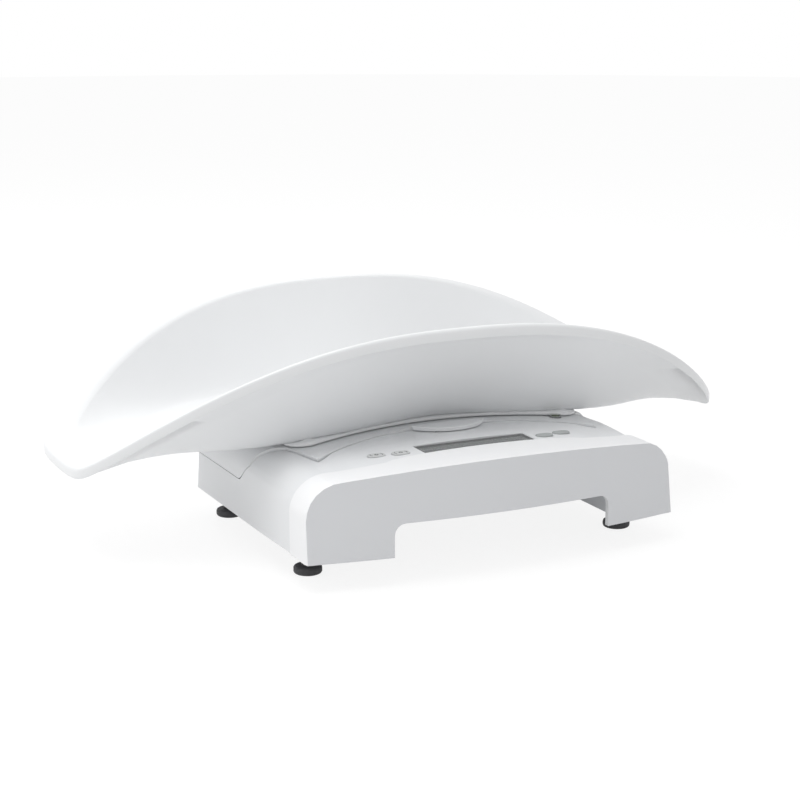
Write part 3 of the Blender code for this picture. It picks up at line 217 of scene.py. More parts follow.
@dataclass(frozen=True)
class Finish:
    """A surface finish: a colour, a gloss and a fine relief.

    The two colours are the lightest and the darkest that the drift in shade reaches.
    """

    name: str
    colour: Colour
    shade: Colour
    roughness: float
    spread: float
    depth: float = 0.05
    grain: float = 900.0
    metallic: float = 0.0
    drift: float = 9.0
    coat: float = 0.0
    alpha: float = 1.0

    def material(self) -> bpy.types.Material:
        """Build the finish's material, or give the one that is there.

        Returns:
            The material.
        """
        made = bpy.data.materials.get(self.name)
        if made:
            return made
        wires, made, shader = Wires.surface(self.name)
        Wires.put(shader, {"Metallic": self.metallic, "Coat Weight": self.coat, "Coat Roughness": 0.15})
        Wires.put(shader, {"Alpha": self.alpha})
        scales = {"Scale": self.grain, "Depth": self.depth, "Drift Scale": self.drift}
        low, high = self.roughness - self.spread / 2, self.roughness + self.spread / 2
        relief, gloss = wires.relief(shader, scales, low, high)
        blend = wires.node("Mix", {6: (*self.colour, 1.0), 7: (*self.shade, 1.0)}, data_type="RGBA")
        share = {"Share": 0.35 if self.metallic else 0.55}
        strokes = wires.node("Group", share, node_tree=GroupKit.strokes())
        rubbed = wires.node("Math", {1: 0.6 if self.metallic else 0.25}, operation="MULTIPLY_ADD")
        wires.join(
            (relief, "Drift", blend, 0), (strokes, "Mask", rubbed, 0), (relief, "Mask", rubbed, 2),
            (rubbed, "Value", gloss, "Value"), (blend, 2, shader, "Base Color"),
        )
        return made


@dataclass(frozen=True)
class WindowPrint:
    """The clear display window with its dark printed border, and a grey cover of haze and painted glare."""

    name: str
    middle: tuple[float, float]
    half: tuple[float, float]
    print_colour: Colour = (0.13, 0.135, 0.135)
    haze_and_glare_colour: Colour = (0.36, 0.37, 0.37)
    haze_and_glare_alpha: float = 0.40

    def material(self) -> bpy.types.Material:
        """Build the window's material.

        Returns:
            The material.
        """
        wires, made, shader = Wires.surface(self.name)
        Wires.put(shader, {"Coat Weight": 0.2})
        place = wires.node("TexCoord")
        parts = wires.node("SeparateXYZ")
        border = wires.node("Math", operation="MAXIMUM")
        for i, axis in enumerate("XY"):
            shift = wires.node("Math", {1: self.middle[i]}, operation="SUBTRACT")
            size = wires.node("Math", operation="ABSOLUTE")
            past = wires.node("Math", {1: self.half[i]}, operation="GREATER_THAN")
            wires.join((parts, axis, shift, 0), (shift, "Value", size, 0), (size, "Value", past, 0))
            wires.join((past, "Value", border, i))
        # The clear middle gets a pale grey part cover: the sheet's haze and painted glare.
        colours = {6: (*self.haze_and_glare_colour, 1.0), 7: (*self.print_colour, 1.0)}
        colour = wires.node("Mix", colours, data_type="RGBA")
        cover = wires.node("MapRange", {"To Min": self.haze_and_glare_alpha, "To Max": 1.0})
        wires.relief(shader, {"Scale": 260.0, "Depth": 0.01}, 0.10, 0.18)
        wires.join(
            (place, "Object", parts, "Vector"), (border, "Value", colour, 0),
            (border, "Value", cover, "Value"), (colour, 2, shader, "Base Color"),
            (cover, "Result", shader, "Alpha"),
        )
        return made


@dataclass(frozen=True)
class GlassFilm:
    """The liquid crystal glass: a grey-green ground with painted shade, darker towards its rear edge."""

    name: str
    front: float
    rear: float
    light: Colour = (0.40, 0.43, 0.42)
    dark: Colour = (0.20, 0.22, 0.21)

    def material(self) -> bpy.types.Material:
        """Build the glass's material.

        Returns:
            The material.
        """
        wires, made, shader = Wires.surface(self.name)
        Wires.put(shader, {"Coat Weight": 0.2})
        place = wires.node("TexCoord")
        parts = wires.node("SeparateXYZ")
        # Painted shade: the ground darkens towards the rear edge, where the recess and the tray above shade
        # it.
        deep = self.rear - self.front
        reach = {"From Min": self.front + deep * 0.45, "From Max": self.front + deep * 0.80}
        run = wires.node("MapRange", reach, interpolation_type="SMOOTHSTEP")
        grain, _ = wires.relief(shader, {"Scale": 500.0, "Depth": 0.02, "Drift Scale": 60.0}, 0.22, 0.34)
        mixed = wires.node("Math", {1: 0.15}, operation="MULTIPLY_ADD")
        colour = wires.node("Mix", {6: (*self.light, 1.0), 7: (*self.dark, 1.0)}, data_type="RGBA")
        wires.join(
            (place, "Object", parts, "Vector"), (parts, "Y", run, "Value"), (grain, "Drift", mixed, 0),
            (run, "Result", mixed, 2), (mixed, "Value", colour, 0), (colour, 2, shader, "Base Color"),
        )
        return made


WHITE = Finish("white_moulding", (0.84, 0.85, 0.86), (0.80, 0.81, 0.825), 0.36, 0.08, 0.04, 700.0)
# The band's finish is paler than the body's white: a painted highlight where the band's top catches the
# light.
WHITE_BAND_PAINTED_HIGHLIGHT = Finish("white_band_painted_highlight", (0.93, 0.935, 0.945), (0.9, 0.905, 0.915), 0.32, 0.06, 0.03, 600.0)
# The front face's finish is darker than the body's white: painted shade on the face that turns away from the
# lamps.
WHITE_FRONT_PAINTED_SHADE = Finish("white_front_painted_shade", (0.73, 0.74, 0.76), (0.70, 0.71, 0.73), 0.42, 0.08, 0.05, 600.0)
WHITE_TRAY = Finish("white_tray_moulding", (0.85, 0.86, 0.87), (0.82, 0.83, 0.84), 0.32, 0.06, 0.03, 500.0)
GREY_PLATE = Finish("grey_plate_moulding", (0.60, 0.61, 0.63), (0.55, 0.56, 0.58), 0.5, 0.1, 0.12)
KEY_GREY = Finish("key_moulding", (0.44, 0.46, 0.46), (0.40, 0.42, 0.42), 0.45, 0.08, 0.08, 1200.0)
KEY_PALE = Finish("pale_key_moulding", (0.66, 0.67, 0.67), (0.60, 0.61, 0.61), 0.45, 0.08, 0.06, 1200.0)
RUBBER = Finish("foot_rubber", (0.055, 0.056, 0.06), (0.085, 0.085, 0.09), 0.7, 0.15, 0.3, 1500.0)
BEZEL = Finish("bezel_moulding", (0.30, 0.31, 0.31), (0.26, 0.27, 0.27), 0.4, 0.1)
COLLAR = Finish("collar_moulding", (0.07, 0.07, 0.075), (0.05, 0.05, 0.055), 0.45, 0.1)
STEEL = Finish("plated_steel", (0.62, 0.63, 0.65), (0.5, 0.51, 0.52), 0.3, 0.15, 0.1, metallic=1.0)
ALUMINIUM = Finish("machined_aluminium", (0.78, 0.79, 0.80), (0.68, 0.69, 0.7), 0.34, 0.14, metallic=1.0)
NICKEL = Finish("nickel_plate", (0.72, 0.70, 0.66), (0.6, 0.58, 0.55), 0.28, 0.12, metallic=1.0)
BOX_GREY = Finish("box_moulding", (0.10, 0.105, 0.11), (0.08, 0.08, 0.085), 0.55, 0.1, 0.1)
BOARD_GREEN = Finish("solder_mask", (0.02, 0.10, 0.05), (0.015, 0.07, 0.04), 0.4, 0.1, drift=60.0)
BLACK = Finish("black_moulding", (0.02, 0.02, 0.022), (0.03, 0.03, 0.03), 0.5, 0.1)
JACKET = Finish("cell_jacket", (0.02, 0.06, 0.18), (0.02, 0.05, 0.14), 0.3, 0.08)
LEAD_GREY = Finish("lead_jacket", (0.07, 0.07, 0.075), (0.05, 0.05, 0.055), 0.6, 0.1)
SEGMENT = Finish("lcd_segment", (0.05, 0.055, 0.05), (0.07, 0.075, 0.07), 0.3, 0.05, 0.0, drift=200.0)
ICON = Finish("key_print", (0.06, 0.065, 0.065), (0.09, 0.095, 0.095), 0.5, 0.1, 0.02, drift=200.0)
LCD = Finish("lcd_ground", (0.30, 0.33, 0.32), (0.26, 0.29, 0.28), 0.3, 0.05, 0.0, coat=0.4)
LIQUID = Finish("level_liquid", (0.12, 0.16, 0.06), (0.10, 0.14, 0.05), 0.1, 0.04, 0.0, coat=0.6)
WINDOW = Finish("window_sheet", (0.92, 0.94, 0.95), (0.9, 0.92, 0.93), 0.06, 0.03, 0.0, alpha=0.18, coat=0.3)

SLOTS: dict[Finish, str] = {
    WHITE: "white_housing white_platform white_release carrier_white",
    WHITE_TRAY: "white_tray",
    GREY_PLATE: "grey_plate door_grey",
    BOX_GREY: "box_grey bezel_grey",
    WINDOW: "clear_window",
    LCD: "lcd_grey",
    BOARD_GREEN: "board_green",
    KEY_GREY: "key_grey",
    BLACK: "switch_black",
    STEEL: "spring_steel foot_insert steel_screw spacer_steel",
    LIQUID: "level_fluid",
    RUBBER: "black_rubber",
    COLLAR: "foot_collar",
    ALUMINIUM: "cell_aluminium",
    JACKET: "cell_jacket",
    NICKEL: "contact_nickel",
    LEAD_GREY: "lead_grey slider_grey",
}
CAD_FINISHES = {slot: finish for finish, slots in SLOTS.items() for slot in slots.split()}


class Bench:
    """Turns bmeshes into finished, riding pieces."""

    @staticmethod
    def piece(
        name: str,
        grid: bmesh.types.BMesh,
        finish: Finish,
        body: str,
        replaces: Sequence[str] = (),
        slot: str = "",
        angle: float = 35.0,
    ) -> bpy.types.Object:
        """Make an object of a bmesh and put it on a body.

        Args:
            name: the piece's name.
            grid: its shape, freed afterwards.
            finish: its finish.
            body: the CAD body that it rides on.
            replaces: the CAD nodes that it stands for.
            slot: the record's material slot that it follows; not used.
            angle: the angle in degrees above which an edge is drawn sharp.

        Returns:
            The object.
        """
        mesh = bpy.data.meshes.new(name)
        grid.to_mesh(mesh)
        grid.free()
        item = bpy.data.objects.new(name, mesh)
        bpy.context.scene.collection.objects.link(item)
        mesh.shade_smooth()
        mesh.set_sharp_from_angle(angle=math.radians(angle))
        mesh.materials.append(finish.material())
        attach(item, body)
        if replaces:
            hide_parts(*replaces)
        log.info("%s rides on %s", name, body)
        return item

    @staticmethod
    def merged_copy(node: str, melt: float = 0.5) -> bmesh.types.BMesh:
        """Copy a CAD node's mesh, merge its loose triangles and melt its flat faces.

        Args:
            node: the CAD node's name.
            melt: the angle in degrees up to which neighbours count as flat.

        Returns:
            The merged copy.
        """
        grid = bmesh.new()
        grid.from_mesh(frame["nodes"][node].data)
        bmesh.ops.remove_doubles(grid, verts=grid.verts, dist=MERGE)
        bmesh.ops.dissolve_limit(grid, angle_limit=math.radians(melt), verts=grid.verts, edges=grid.edges)
        return grid

    @staticmethod
    def cut(
        grid: bmesh.types.BMesh,
        place: Spot,
        normal: Spot,
        wanted: Callable[[Vector], bool],
    ) -> None:
        """Cut the faces that touch a wanted region along a plane.

        Args:
            grid: the mesh.
            place: a point of the plane.
            normal: the plane's normal.
            wanted: tells whether a vertex lies in the region.
        """
        faces = [f for f in grid.faces if any(wanted(v.co) for v in f.verts)]
        edges = dict.fromkeys(e for f in faces for e in f.edges)
        verts = dict.fromkeys(v for f in faces for v in f.verts)
        geom = [*faces, *edges, *verts]
        bmesh.ops.bisect_plane(grid, geom=geom, dist=1e-6, plane_co=place, plane_no=normal)

    @staticmethod
    def plate(grid: bmesh.types.BMesh, middle: Spot, half: tuple[float, float], sheet: float) -> None:
        """Add a thin plate with cut corners, lying on a face.

        Args:
            grid: the mesh that gets it.
            middle: the middle of its lower face.
            half: half its length along X and Y.
            sheet: its thickness.
        """
        made = bmesh.ops.create_circle(grid, cap_ends=True, segments=8, radius=1.0)
        bmesh.ops.rotate(grid, verts=made["verts"], matrix=Matrix.Rotation(math.pi / 8, 3, "Z"))
        small = min(half) * 0.35
        for vert in made["verts"]:
            steep = abs(vert.co.x) < abs(vert.co.y)
            x = math.copysign(half[0] - (small if steep else 0.0), vert.co.x)
            y = math.copysign(half[1] - (0.0 if steep else small), vert.co.y)
            vert.co = (middle[0] + x, middle[1] + y, middle[2])
        base = made["verts"][0].link_faces[0]
        fresh = bmesh.ops.extrude_face_region(grid, geom=[base])["geom"]
        top = [g for g in fresh if isinstance(g, Vert)]
        bmesh.ops.translate(grid, verts=top, vec=(0.0, 0.0, sheet))
        bmesh.ops.recalc_face_normals(grid, faces=grid.faces)

    @staticmethod
    def hoop(
        grid: bmesh.types.BMesh, middle: Spot, radius: float, half: float, sweep: float, start: float
    ) -> None:
        """Add a thin flat ring, or a part of one, lying on a face.

        Args:
            grid: the mesh that gets it.
            middle: the middle of its lower face.
            radius: the radius of its middle line.
            half: half its width.
            sweep: the angle that it covers.
            start: the angle where it starts.
        """
        spot = Vector(middle)
        verts = []
        for across, up in ((-half, 0.0), (half, 0.0), (half, PRINT_SHEET), (-half, PRINT_SHEET)):
            reach = radius + across
            offset = Vector((reach * math.cos(start), reach * math.sin(start), up))
            verts.append(grid.verts.new(spot + offset))
        face = grid.faces.new(verts)
        geom = [face, *face.edges, *verts]
        whole = sweep == math.tau
        bmesh.ops.spin(
            grid, geom=geom, cent=middle, axis=(0.0, 0.0, 1.0), angle=sweep, steps=28, use_merge=whole
        )
        bmesh.ops.remove_doubles(grid, verts=grid.verts, dist=1e-6)
        bmesh.ops.recalc_face_normals(grid, faces=grid.faces)

    @staticmethod
    def weigh(grid: bmesh.types.BMesh, angle: float, share: Callable[[Vector], float]) -> None:
        """Write how strongly each sharp edge is rounded.

        Args:
            grid: the mesh.
            angle: the angle in degrees above which an edge is sharp.
            share: gives the weight at an edge's middle.
        """
        layer = grid.edges.layers.float.new("bevel_weight_edge")
        for edge in grid.edges:
            if len(edge.link_faces) == 2 and edge.calc_face_angle(0.0) > math.radians(angle):
                edge[layer] = share((edge.verts[0].co + edge.verts[1].co) / 2)

    @staticmethod
    def soften(
        item: bpy.types.Object, width: float, segments: int = 3, angle: float = 30.0, weighted: bool = False
    ) -> None:
        """Round an item's edges with a bevel, and weight its normals by area.

        Args:
            item: the piece.
            width: the bevel's width in metres.
            segments: its segments.
            angle: the angle in degrees above which an edge is rounded.
            weighted: whether the edges' own weights decide instead of the angle.
        """
        bevel = item.modifiers.new("round", "BEVEL")
        bevel.width = width
        bevel.segments = segments
        bevel.limit_method = "WEIGHT" if weighted else "ANGLE"
        bevel.angle_limit = math.radians(angle)
        bevel.use_clamp_overlap = True
        bevel.harden_normals = True
        weigh = item.modifiers.new("weigh", "WEIGHTED_NORMAL")
        weigh.keep_sharp = True


@dataclass(frozen=True)
class BodyForm:
    """The rounded bridge form that the housing and the platform share."""

    half_width: float = 0.149
    draft: float = 0.002
    top: float = 0.0844
    fall: float = 0.0089
    shoulder: float = 0.026
    leg_bottom: float = 0.021

    @property
    def middle(self) -> float:
        """Half width of the crowned top, where the shoulders start."""
        return self.half_width - self.draft - self.shoulder

    @property
    def centre(self) -> float:
        """Height of the shoulders' centre line."""
        return self.crown(self.middle) - self.shoulder

    def crown(self, x: float) -> float:
        """Height of the crowned top at a place along X."""
        return self.top - self.fall * (x / self.half_width) ** 2

    def side(self, z: float) -> float:
        """Half width of the body below the shoulders."""
        return self.half_width - self.draft * (z - self.leg_bottom) / (self.centre - self.leg_bottom)

    def depth(self, point: Vector) -> float:
        """Distance of a point below the form.

        Args:
            point: the point.

        Returns:
            The depth in metres.
        """
        x = abs(point.x)
        if point.z < self.centre:
            return self.side(point.z) - x
        if x <= self.middle:
            return self.crown(x) - point.z
        return self.shoulder - math.hypot(x - self.middle, point.z - self.centre)

    def turn(self, point: Vector) -> float:
        """How far a point is round the shoulder: 0 on the top and 1 on the side."""
        if point.z < self.centre:
            return 1.0
        if abs(point.x) <= self.middle:
            return 0.0
        return 1 - math.atan2(point.z - self.centre, abs(point.x) - self.middle) / (math.pi / 2)

    def placed(self, point: Vector, depth: float) -> Vector:
        """The point of the form beside a given one, at a depth.

        Args:
            point: the given point.
            depth: the wanted depth in metres.

        Returns:
            The moved point.
        """
        sign = math.copysign(1.0, point.x)
        x = abs(point.x)
        if point.z < self.centre:
            return Vector((sign * (self.side(point.z) - depth), point.y, point.z))
        if x <= self.middle:
            return Vector((point.x, point.y, self.crown(x) - depth))
        angle = math.atan2(point.z - self.centre, x - self.middle)
        reach = self.shoulder - depth
        x = self.middle + reach * math.cos(angle)
        return Vector((sign * x, point.y, self.centre + reach * math.sin(angle)))

    def slice(self, grid: bmesh.types.BMesh, step: float, turns: int) -> None:
        """Cut a shell across the crown and round the shoulders.

        Args:
            grid: the shell.
            step: distance of the cuts along X.
            turns: cuts round each shoulder.
        """
        count = int(self.middle / step)
        for i in range(-count, count + 1):
            Bench.cut(grid, (i * step, 0.0, 0.0), (1.0, 0.0, 0.0), lambda p: p.z > self.centre)
        for sign in (-1.0, 1.0):
            for i in range(turns + 1):
                angle = math.pi / 2 * i / turns
                normal = (sign * math.sin(angle), 0.0, -math.cos(angle))
                base = (sign * self.middle, 0.0, self.centre)
                Bench.cut(
                    grid, base, normal,
                    lambda p: p.x * sign > self.middle - 0.002 and p.z > self.centre - 0.002,
                )


@dataclass
class HousingSkin:
    """The bridge housing: a raised front band, a sunk key panel and a valley on each shoulder."""

    form: BodyForm = field(default_factory=BodyForm)
    panel: float = 0.0015
    valley: float = 0.0042
    side_valley: float = 0.0012
    seam_step: float = 0.0005
    tongue_step: float = 0.0019
    lean: float = 0.0022
    wall: float = 0.0025
    hollow: float = 0.0040
    front_edge: float = 0.0014
    corner: float = 0.007
    corner_power: float = 5.0
    front_reach: float = 0.1394
    front_bow: float = 0.0157
    step_line: float = -0.1014
    warp_start: float = -0.1165
    cut_start: float = -0.1164
    cut_step: float = 0.0025
    cuts: int = 48
    face_back: float = -0.110
    lip_top: float = 0.0492
    seam: tuple[float, float] = (0.205, -0.0315)
    seam_side: tuple[float, float] = (0.115, -0.026)
    side_shift: float = 0.0065
    crest: tuple[tuple[float, float], ...] = (
        *((0.0, -0.0997), (0.050, -0.1000), (0.072, -0.1020), (0.081, -0.1056)),
        *((0.100, -0.1047), (0.114, -0.1029), (0.121, -0.1010)),
    )
    calm: tuple[tuple[float, float], ...] = (
        *((0.0, -0.0990), (0.052, -0.0990), (0.056, -0.0920), (0.066, -0.0920)),
        *((0.070, -0.0880), (0.084, -0.0880), (0.090, -0.0600), (0.121, -0.0550)),
    )

    @staticmethod
    def along(table: Sequence[tuple[float, float]], x: float) -> float:
        """Read a table of places along X, eased between its rows.

        Args:
            table: rows of a place and its value.
            x: the place.

        Returns:
            The value.
        """
        for (x0, y0), (x1, y1) in zip(table, table[1:]):
            if x <= x1:
                return y0 + (y1 - y0) * ease((x - x0) / (x1 - x0))
        return table[-1][1]

    def warp(self, point: Vector) -> float:
        """How far a point moves along Y, so that the CAD's straight step follows the crest.

        Args:
            point: the point.

        Returns:
            The shift in metres.
        """
        x = abs(point.x)
        y = point.y - FEET_Y
        shift = self.along(self.crest, x) + self.side_shift * self.form.turn(point) - self.step_line
        if y <= self.step_line:
            return shift * ease((y - self.warp_start) / (self.step_line - self.warp_start))
        rest = self.along(self.calm, x)
        return shift * max(0.0, 1 - (y - self.step_line) / (rest - self.step_line))

    def inset(self, point: Vector) -> float:
        """How far the surface behind the band lies inside the form.

        Args:
            point: a point of the surface.

        Returns:
            The depth in metres.
        """
        x = abs(point.x)
        y = point.y - FEET_Y
        turn = ease(self.form.turn(point))
        deep = self.panel + (self.valley - self.panel) * ease((x - 0.080) / 0.030)
        deep += (self.side_valley - deep) * turn
        fade = 0.35 * (1 - ease((y + 0.100) / 0.040))
        fade += 0.65 * (1 - ease((y + 0.100) / (0.095 - 0.015 * turn)))
        value = self.panel + (deep * fade - self.panel) * ease((x - 0.080) / 0.020)
        radius, apex = self.seam
        bend, side = self.seam_side
        seam = apex - radius + math.sqrt(radius**2 - min(x, bend) ** 2)
        if x > bend:
            seam += (side - seam) * ease((x - bend) / 0.006)
        near = ease((seam - y) / 0.026)
        near = 1 - (1 - near) * ease((x - 0.036) / 0.016) * (1 - turn)
        edge = self.seam_step + (self.tongue_step - self.seam_step) * ease((x - 0.100) / 0.012)
        edge *= 1 - ease((turn - 0.70) / 0.30)
        return edge + (value - edge) * near if x > 0.036 else value

    def leaned(self, point: Vector) -> Vector:
        """A point of the band, leant a little to the left as in the photograph."""
        share = ease((point.z - 0.021) / 0.034) * ease((abs(point.x) - 0.095) / 0.040)
        return Vector((point.x - self.lean * share, point.y, point.z))

    def square_corner(self, vert: Vert) -> None:
        """Draw a vertex of the front corners out towards the square corner.

        Args:
            vert: the vertex.
        """
        reach = self.form.half_width - self.corner
        edge = FEET_Y - self.front_reach + self.front_bow * (reach / self.form.half_width) ** 2 + self.corner
        dx = abs(vert.co.x) - reach
        dy = edge - vert.co.y
        if dx <= 0 or dy <= 0 or self.form.depth(vert.co) > 0.008:
            return
        length = math.hypot(dx, dy)
        if abs(length - self.corner) > 0.0025:
            return
        power = 2 + (self.corner_power - 2) * ease(self.form.turn(vert.co))
        share = ((dx / length) ** power + (dy / length) ** power) ** (1 / power)
        grow = 1 / share
        vert.co.x = math.copysign(reach + dx * grow, vert.co.x)
        vert.co.y = edge - dy * grow
        if self.form.depth(vert.co) < 0:
            vert.co = self.form.placed(vert.co, 0.0)

    def round_front(self, grid: bmesh.types.BMesh) -> None:
        """Round the long edge between the front face and the top."""
        found = []
        for edge in grid.edges:
            if len(edge.link_faces) != 2 or edge.calc_face_angle(0.0) < math.radians(30):
                continue
            mid = (edge.verts[0].co + edge.verts[1].co) / 2
            fronts = sorted(face.normal.y for face in edge.link_faces)
            if fronts[0] < -0.3 and fronts[1] > -0.2 and self.form.depth(mid) < 0.0006 and mid.z > 0.0215:
                found.append(edge)
        bmesh.ops.bevel(
            grid, geom=found, offset=self.front_edge, offset_type="OFFSET", segments=4, profile=0.5,
            affect="EDGES", clamp_overlap=True, material=-1,
        )
        log.info("front edge: %d edges rounded", len(found))

    def build(self) -> None:
        """Shape the housing's skin from its merged CAD copy."""
        grid = Bench.merged_copy("base_housing")
        for vert in grid.verts:
            self.square_corner(vert)
        grid.normal_update()
        self.round_front(grid)
        for i in range(self.cuts):
            place = (0.0, FEET_Y + self.cut_start + self.cut_step * i, 0.0)
            Bench.cut(grid, place, (0.0, 1.0, 0.0), lambda p: self.form.depth(p) < 0.0044)
        self.form.slice(grid, 0.005, 10)
        for vert in grid.verts:
            y = vert.co.y - FEET_Y
            depth = self.form.depth(vert.co)
            if y < self.cut_start + 0.0001:
                vert.co = self.leaned(vert.co)
                continue
            if depth > self.hollow + 0.0004:
                continue
            band = y < self.step_line + MERGE
            spot = vert.co + Vector((0.0, self.warp(vert.co), 0.0))
            wanted = 0.0 if band and depth < 0.0008 else self.inset(spot)
            if depth >= SKIN:
                wanted = max(self.hollow, wanted + self.wall)
            vert.co = self.form.placed(spot, wanted)
            if band and not 0.0008 <= depth < SKIN:
                vert.co = self.leaned(vert.co)
        bmesh.ops.remove_doubles(grid, verts=grid.verts, dist=MERGE)
        # Faces of the band's top get the paler finish, a painted highlight; the others get the body's white.
        for face in grid.faces:
            mid = face.calc_center_median()
            line = self.along(self.crest, abs(mid.x)) + self.side_shift * self.form.turn(mid)
            face.material_index = 0 if mid.y - FEET_Y < line - 1e-4 and self.form.depth(mid) < 0.0010 else 1
            # Faces of the front face get the darker finish: painted shade.
            if face.normal.y < -0.85 and mid.y - FEET_Y < self.face_back:
                face.material_index = 2
        Bench.weigh(
            grid, CREASE,
            lambda p: SPARED if abs(p.z - self.lip_top) < 0.0004 and self.form.depth(p) < SKIN else 1.0,
        )
        item = Bench.piece("housing_skin", grid, WHITE_BAND_PAINTED_HIGHLIGHT, "base", ("base_housing",), "white_housing", 32.0)
        item.data.materials.append(WHITE.material())
        item.data.materials.append(WHITE_FRONT_PAINTED_SHADE.material())
        Bench.soften(item, 0.0009, 3, CREASE, weighted=True)


@dataclass
class PlatformSkin:
    """The weighing platform with softened edges along its seam."""

    form: BodyForm = field(default_factory=BodyForm)
    skirt_bottom: float = 0.050
    skirt_drop: float = 0.0003
    arc_room: float = 0.0004

    def build(self) -> None:
        """Shape the platform's skin from its merged CAD copy."""
        grid = Bench.merged_copy("weighing_platform")
        self.form.slice(grid, 0.010, 9)
        for vert in grid.verts:
            depth = self.form.depth(vert.co)
            if abs(depth) < 0.0006 and vert.co.z > self.skirt_bottom - 0.001:
                vert.co = self.form.placed(vert.co, 0.0)
            if depth < SKIN:
                if vert.co.z < self.skirt_bottom + 0.0004:
                    vert.co.z -= self.skirt_drop
                near = ease((abs(vert.co.x) - 0.110) / 0.010)
                vert.co.y += self.arc_room * (near * (1 - ease((vert.co.y - FEET_Y - 0.020) / 0.030)))
        bmesh.ops.remove_doubles(grid, verts=grid.verts, dist=MERGE)
        low = self.skirt_bottom + 0.0006
        Bench.weigh(grid, CREASE, lambda p: SPARED if p.z < low and self.form.depth(p) < SKIN else 1.0)
        nodes = ("weighing_platform",)
        item = Bench.piece("platform_skin", grid, WHITE, "platform", nodes, "white_platform", 32.0)
        Bench.soften(item, 0.0011, 4, CREASE, weighted=True)


@dataclass
class SmallMouldings:
    """Mouldings that keep their CAD shape and get rounded edges."""

    parts: tuple[tuple[str, str, Finish, str, float], ...] = (
        ("release_button", "release", WHITE, "white_release", 0.0012),
        ("base_plate", "base", GREY_PLATE, "grey_plate", 0.0006),
        ("battery_door", "battery_door", GREY_PLATE, "door_grey", 0.0005),
        *((f"foot_pad_{i}", f"foot_{i}", RUBBER, "black_rubber", 0.0008) for i in FEET),
        *((f"foot_screw_{i}", f"foot_{i}", COLLAR, "foot_collar", 0.0004) for i in FEET),
        ("level_bezel", "platform", BEZEL, "bezel_grey", 0.0002),
    )

    def build(self) -> None:
        """Make each moulding from its merged CAD copy."""
        for node, body, finish, slot, width in self.parts:
            item = Bench.piece(f"{node}_skin", Bench.merged_copy(node), finish, body, (node,), slot)
            Bench.soften(item, width)


class Icon(Enum):
    """Small prints on the keys."""

    POWER = "power"
    ZERO = "zero"
    BARE = "bare"


@dataclass
class KeyRow:
    """Four oval keys with crowned tops, two of them with a small print."""

    nodes: tuple[tuple[str, str, Icon], ...] = (
        ("button_1", "key_1", Icon.POWER),
        ("button_2", "key_2", Icon.ZERO),
        ("button_3", "key_3", Icon.BARE),
        ("button_4", "key_4", Icon.BARE),
    )
    bracket_shift: float = 0.0017
    bracket_radius: float = 0.0030
    mark_radius: float = 0.0012
    mark_half: float = 0.00034

    def build(self) -> None:
        """Make the keys and their prints."""
        for node, body, icon in self.nodes:
            finish = KEY_GREY if icon is Icon.BARE else KEY_PALE
            item = Bench.piece(f"{node}_cap", Bench.merged_copy(node), finish, body, (node,), "key_grey")
            Bench.soften(item, 0.0005, 3)
            if icon is not Icon.BARE:
                self.label(node, body, icon)

    def label(self, node: str, body: str, icon: Icon) -> None:
        """Lay a small print on a key's top.

        Args:
            node: the key's CAD node.
            body: the body that it rides on.
            icon: the print.
        """
        low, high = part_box(node)
        x, y, z = (low[0] + high[0]) / 2, (low[1] + high[1]) / 2, high[2]
        grid = bmesh.new()
        for side in (-1.0, 1.0):
            turn = math.pi * (0.5 - side / 2)
            middle = (x + side * self.bracket_shift, y, z)
            sweep = math.radians(84)
            Bench.hoop(grid, middle, self.bracket_radius, 0.00030, sweep, turn - sweep / 2)
        if icon is Icon.POWER:
            middle = (x, y - 0.0002, z)
            Bench.hoop(grid, middle, self.mark_radius, self.mark_half, math.radians(290), math.radians(125))
            Bench.plate(grid, (x, y + 0.0011, z), (0.00032, 0.0010), PRINT_SHEET)
        else:
            Bench.hoop(grid, (x, y, z), self.mark_radius, self.mark_half, math.tau, 0.0)
        Bench.piece(f"{node}_print", grid, ICON, body, (), "", 30.0)


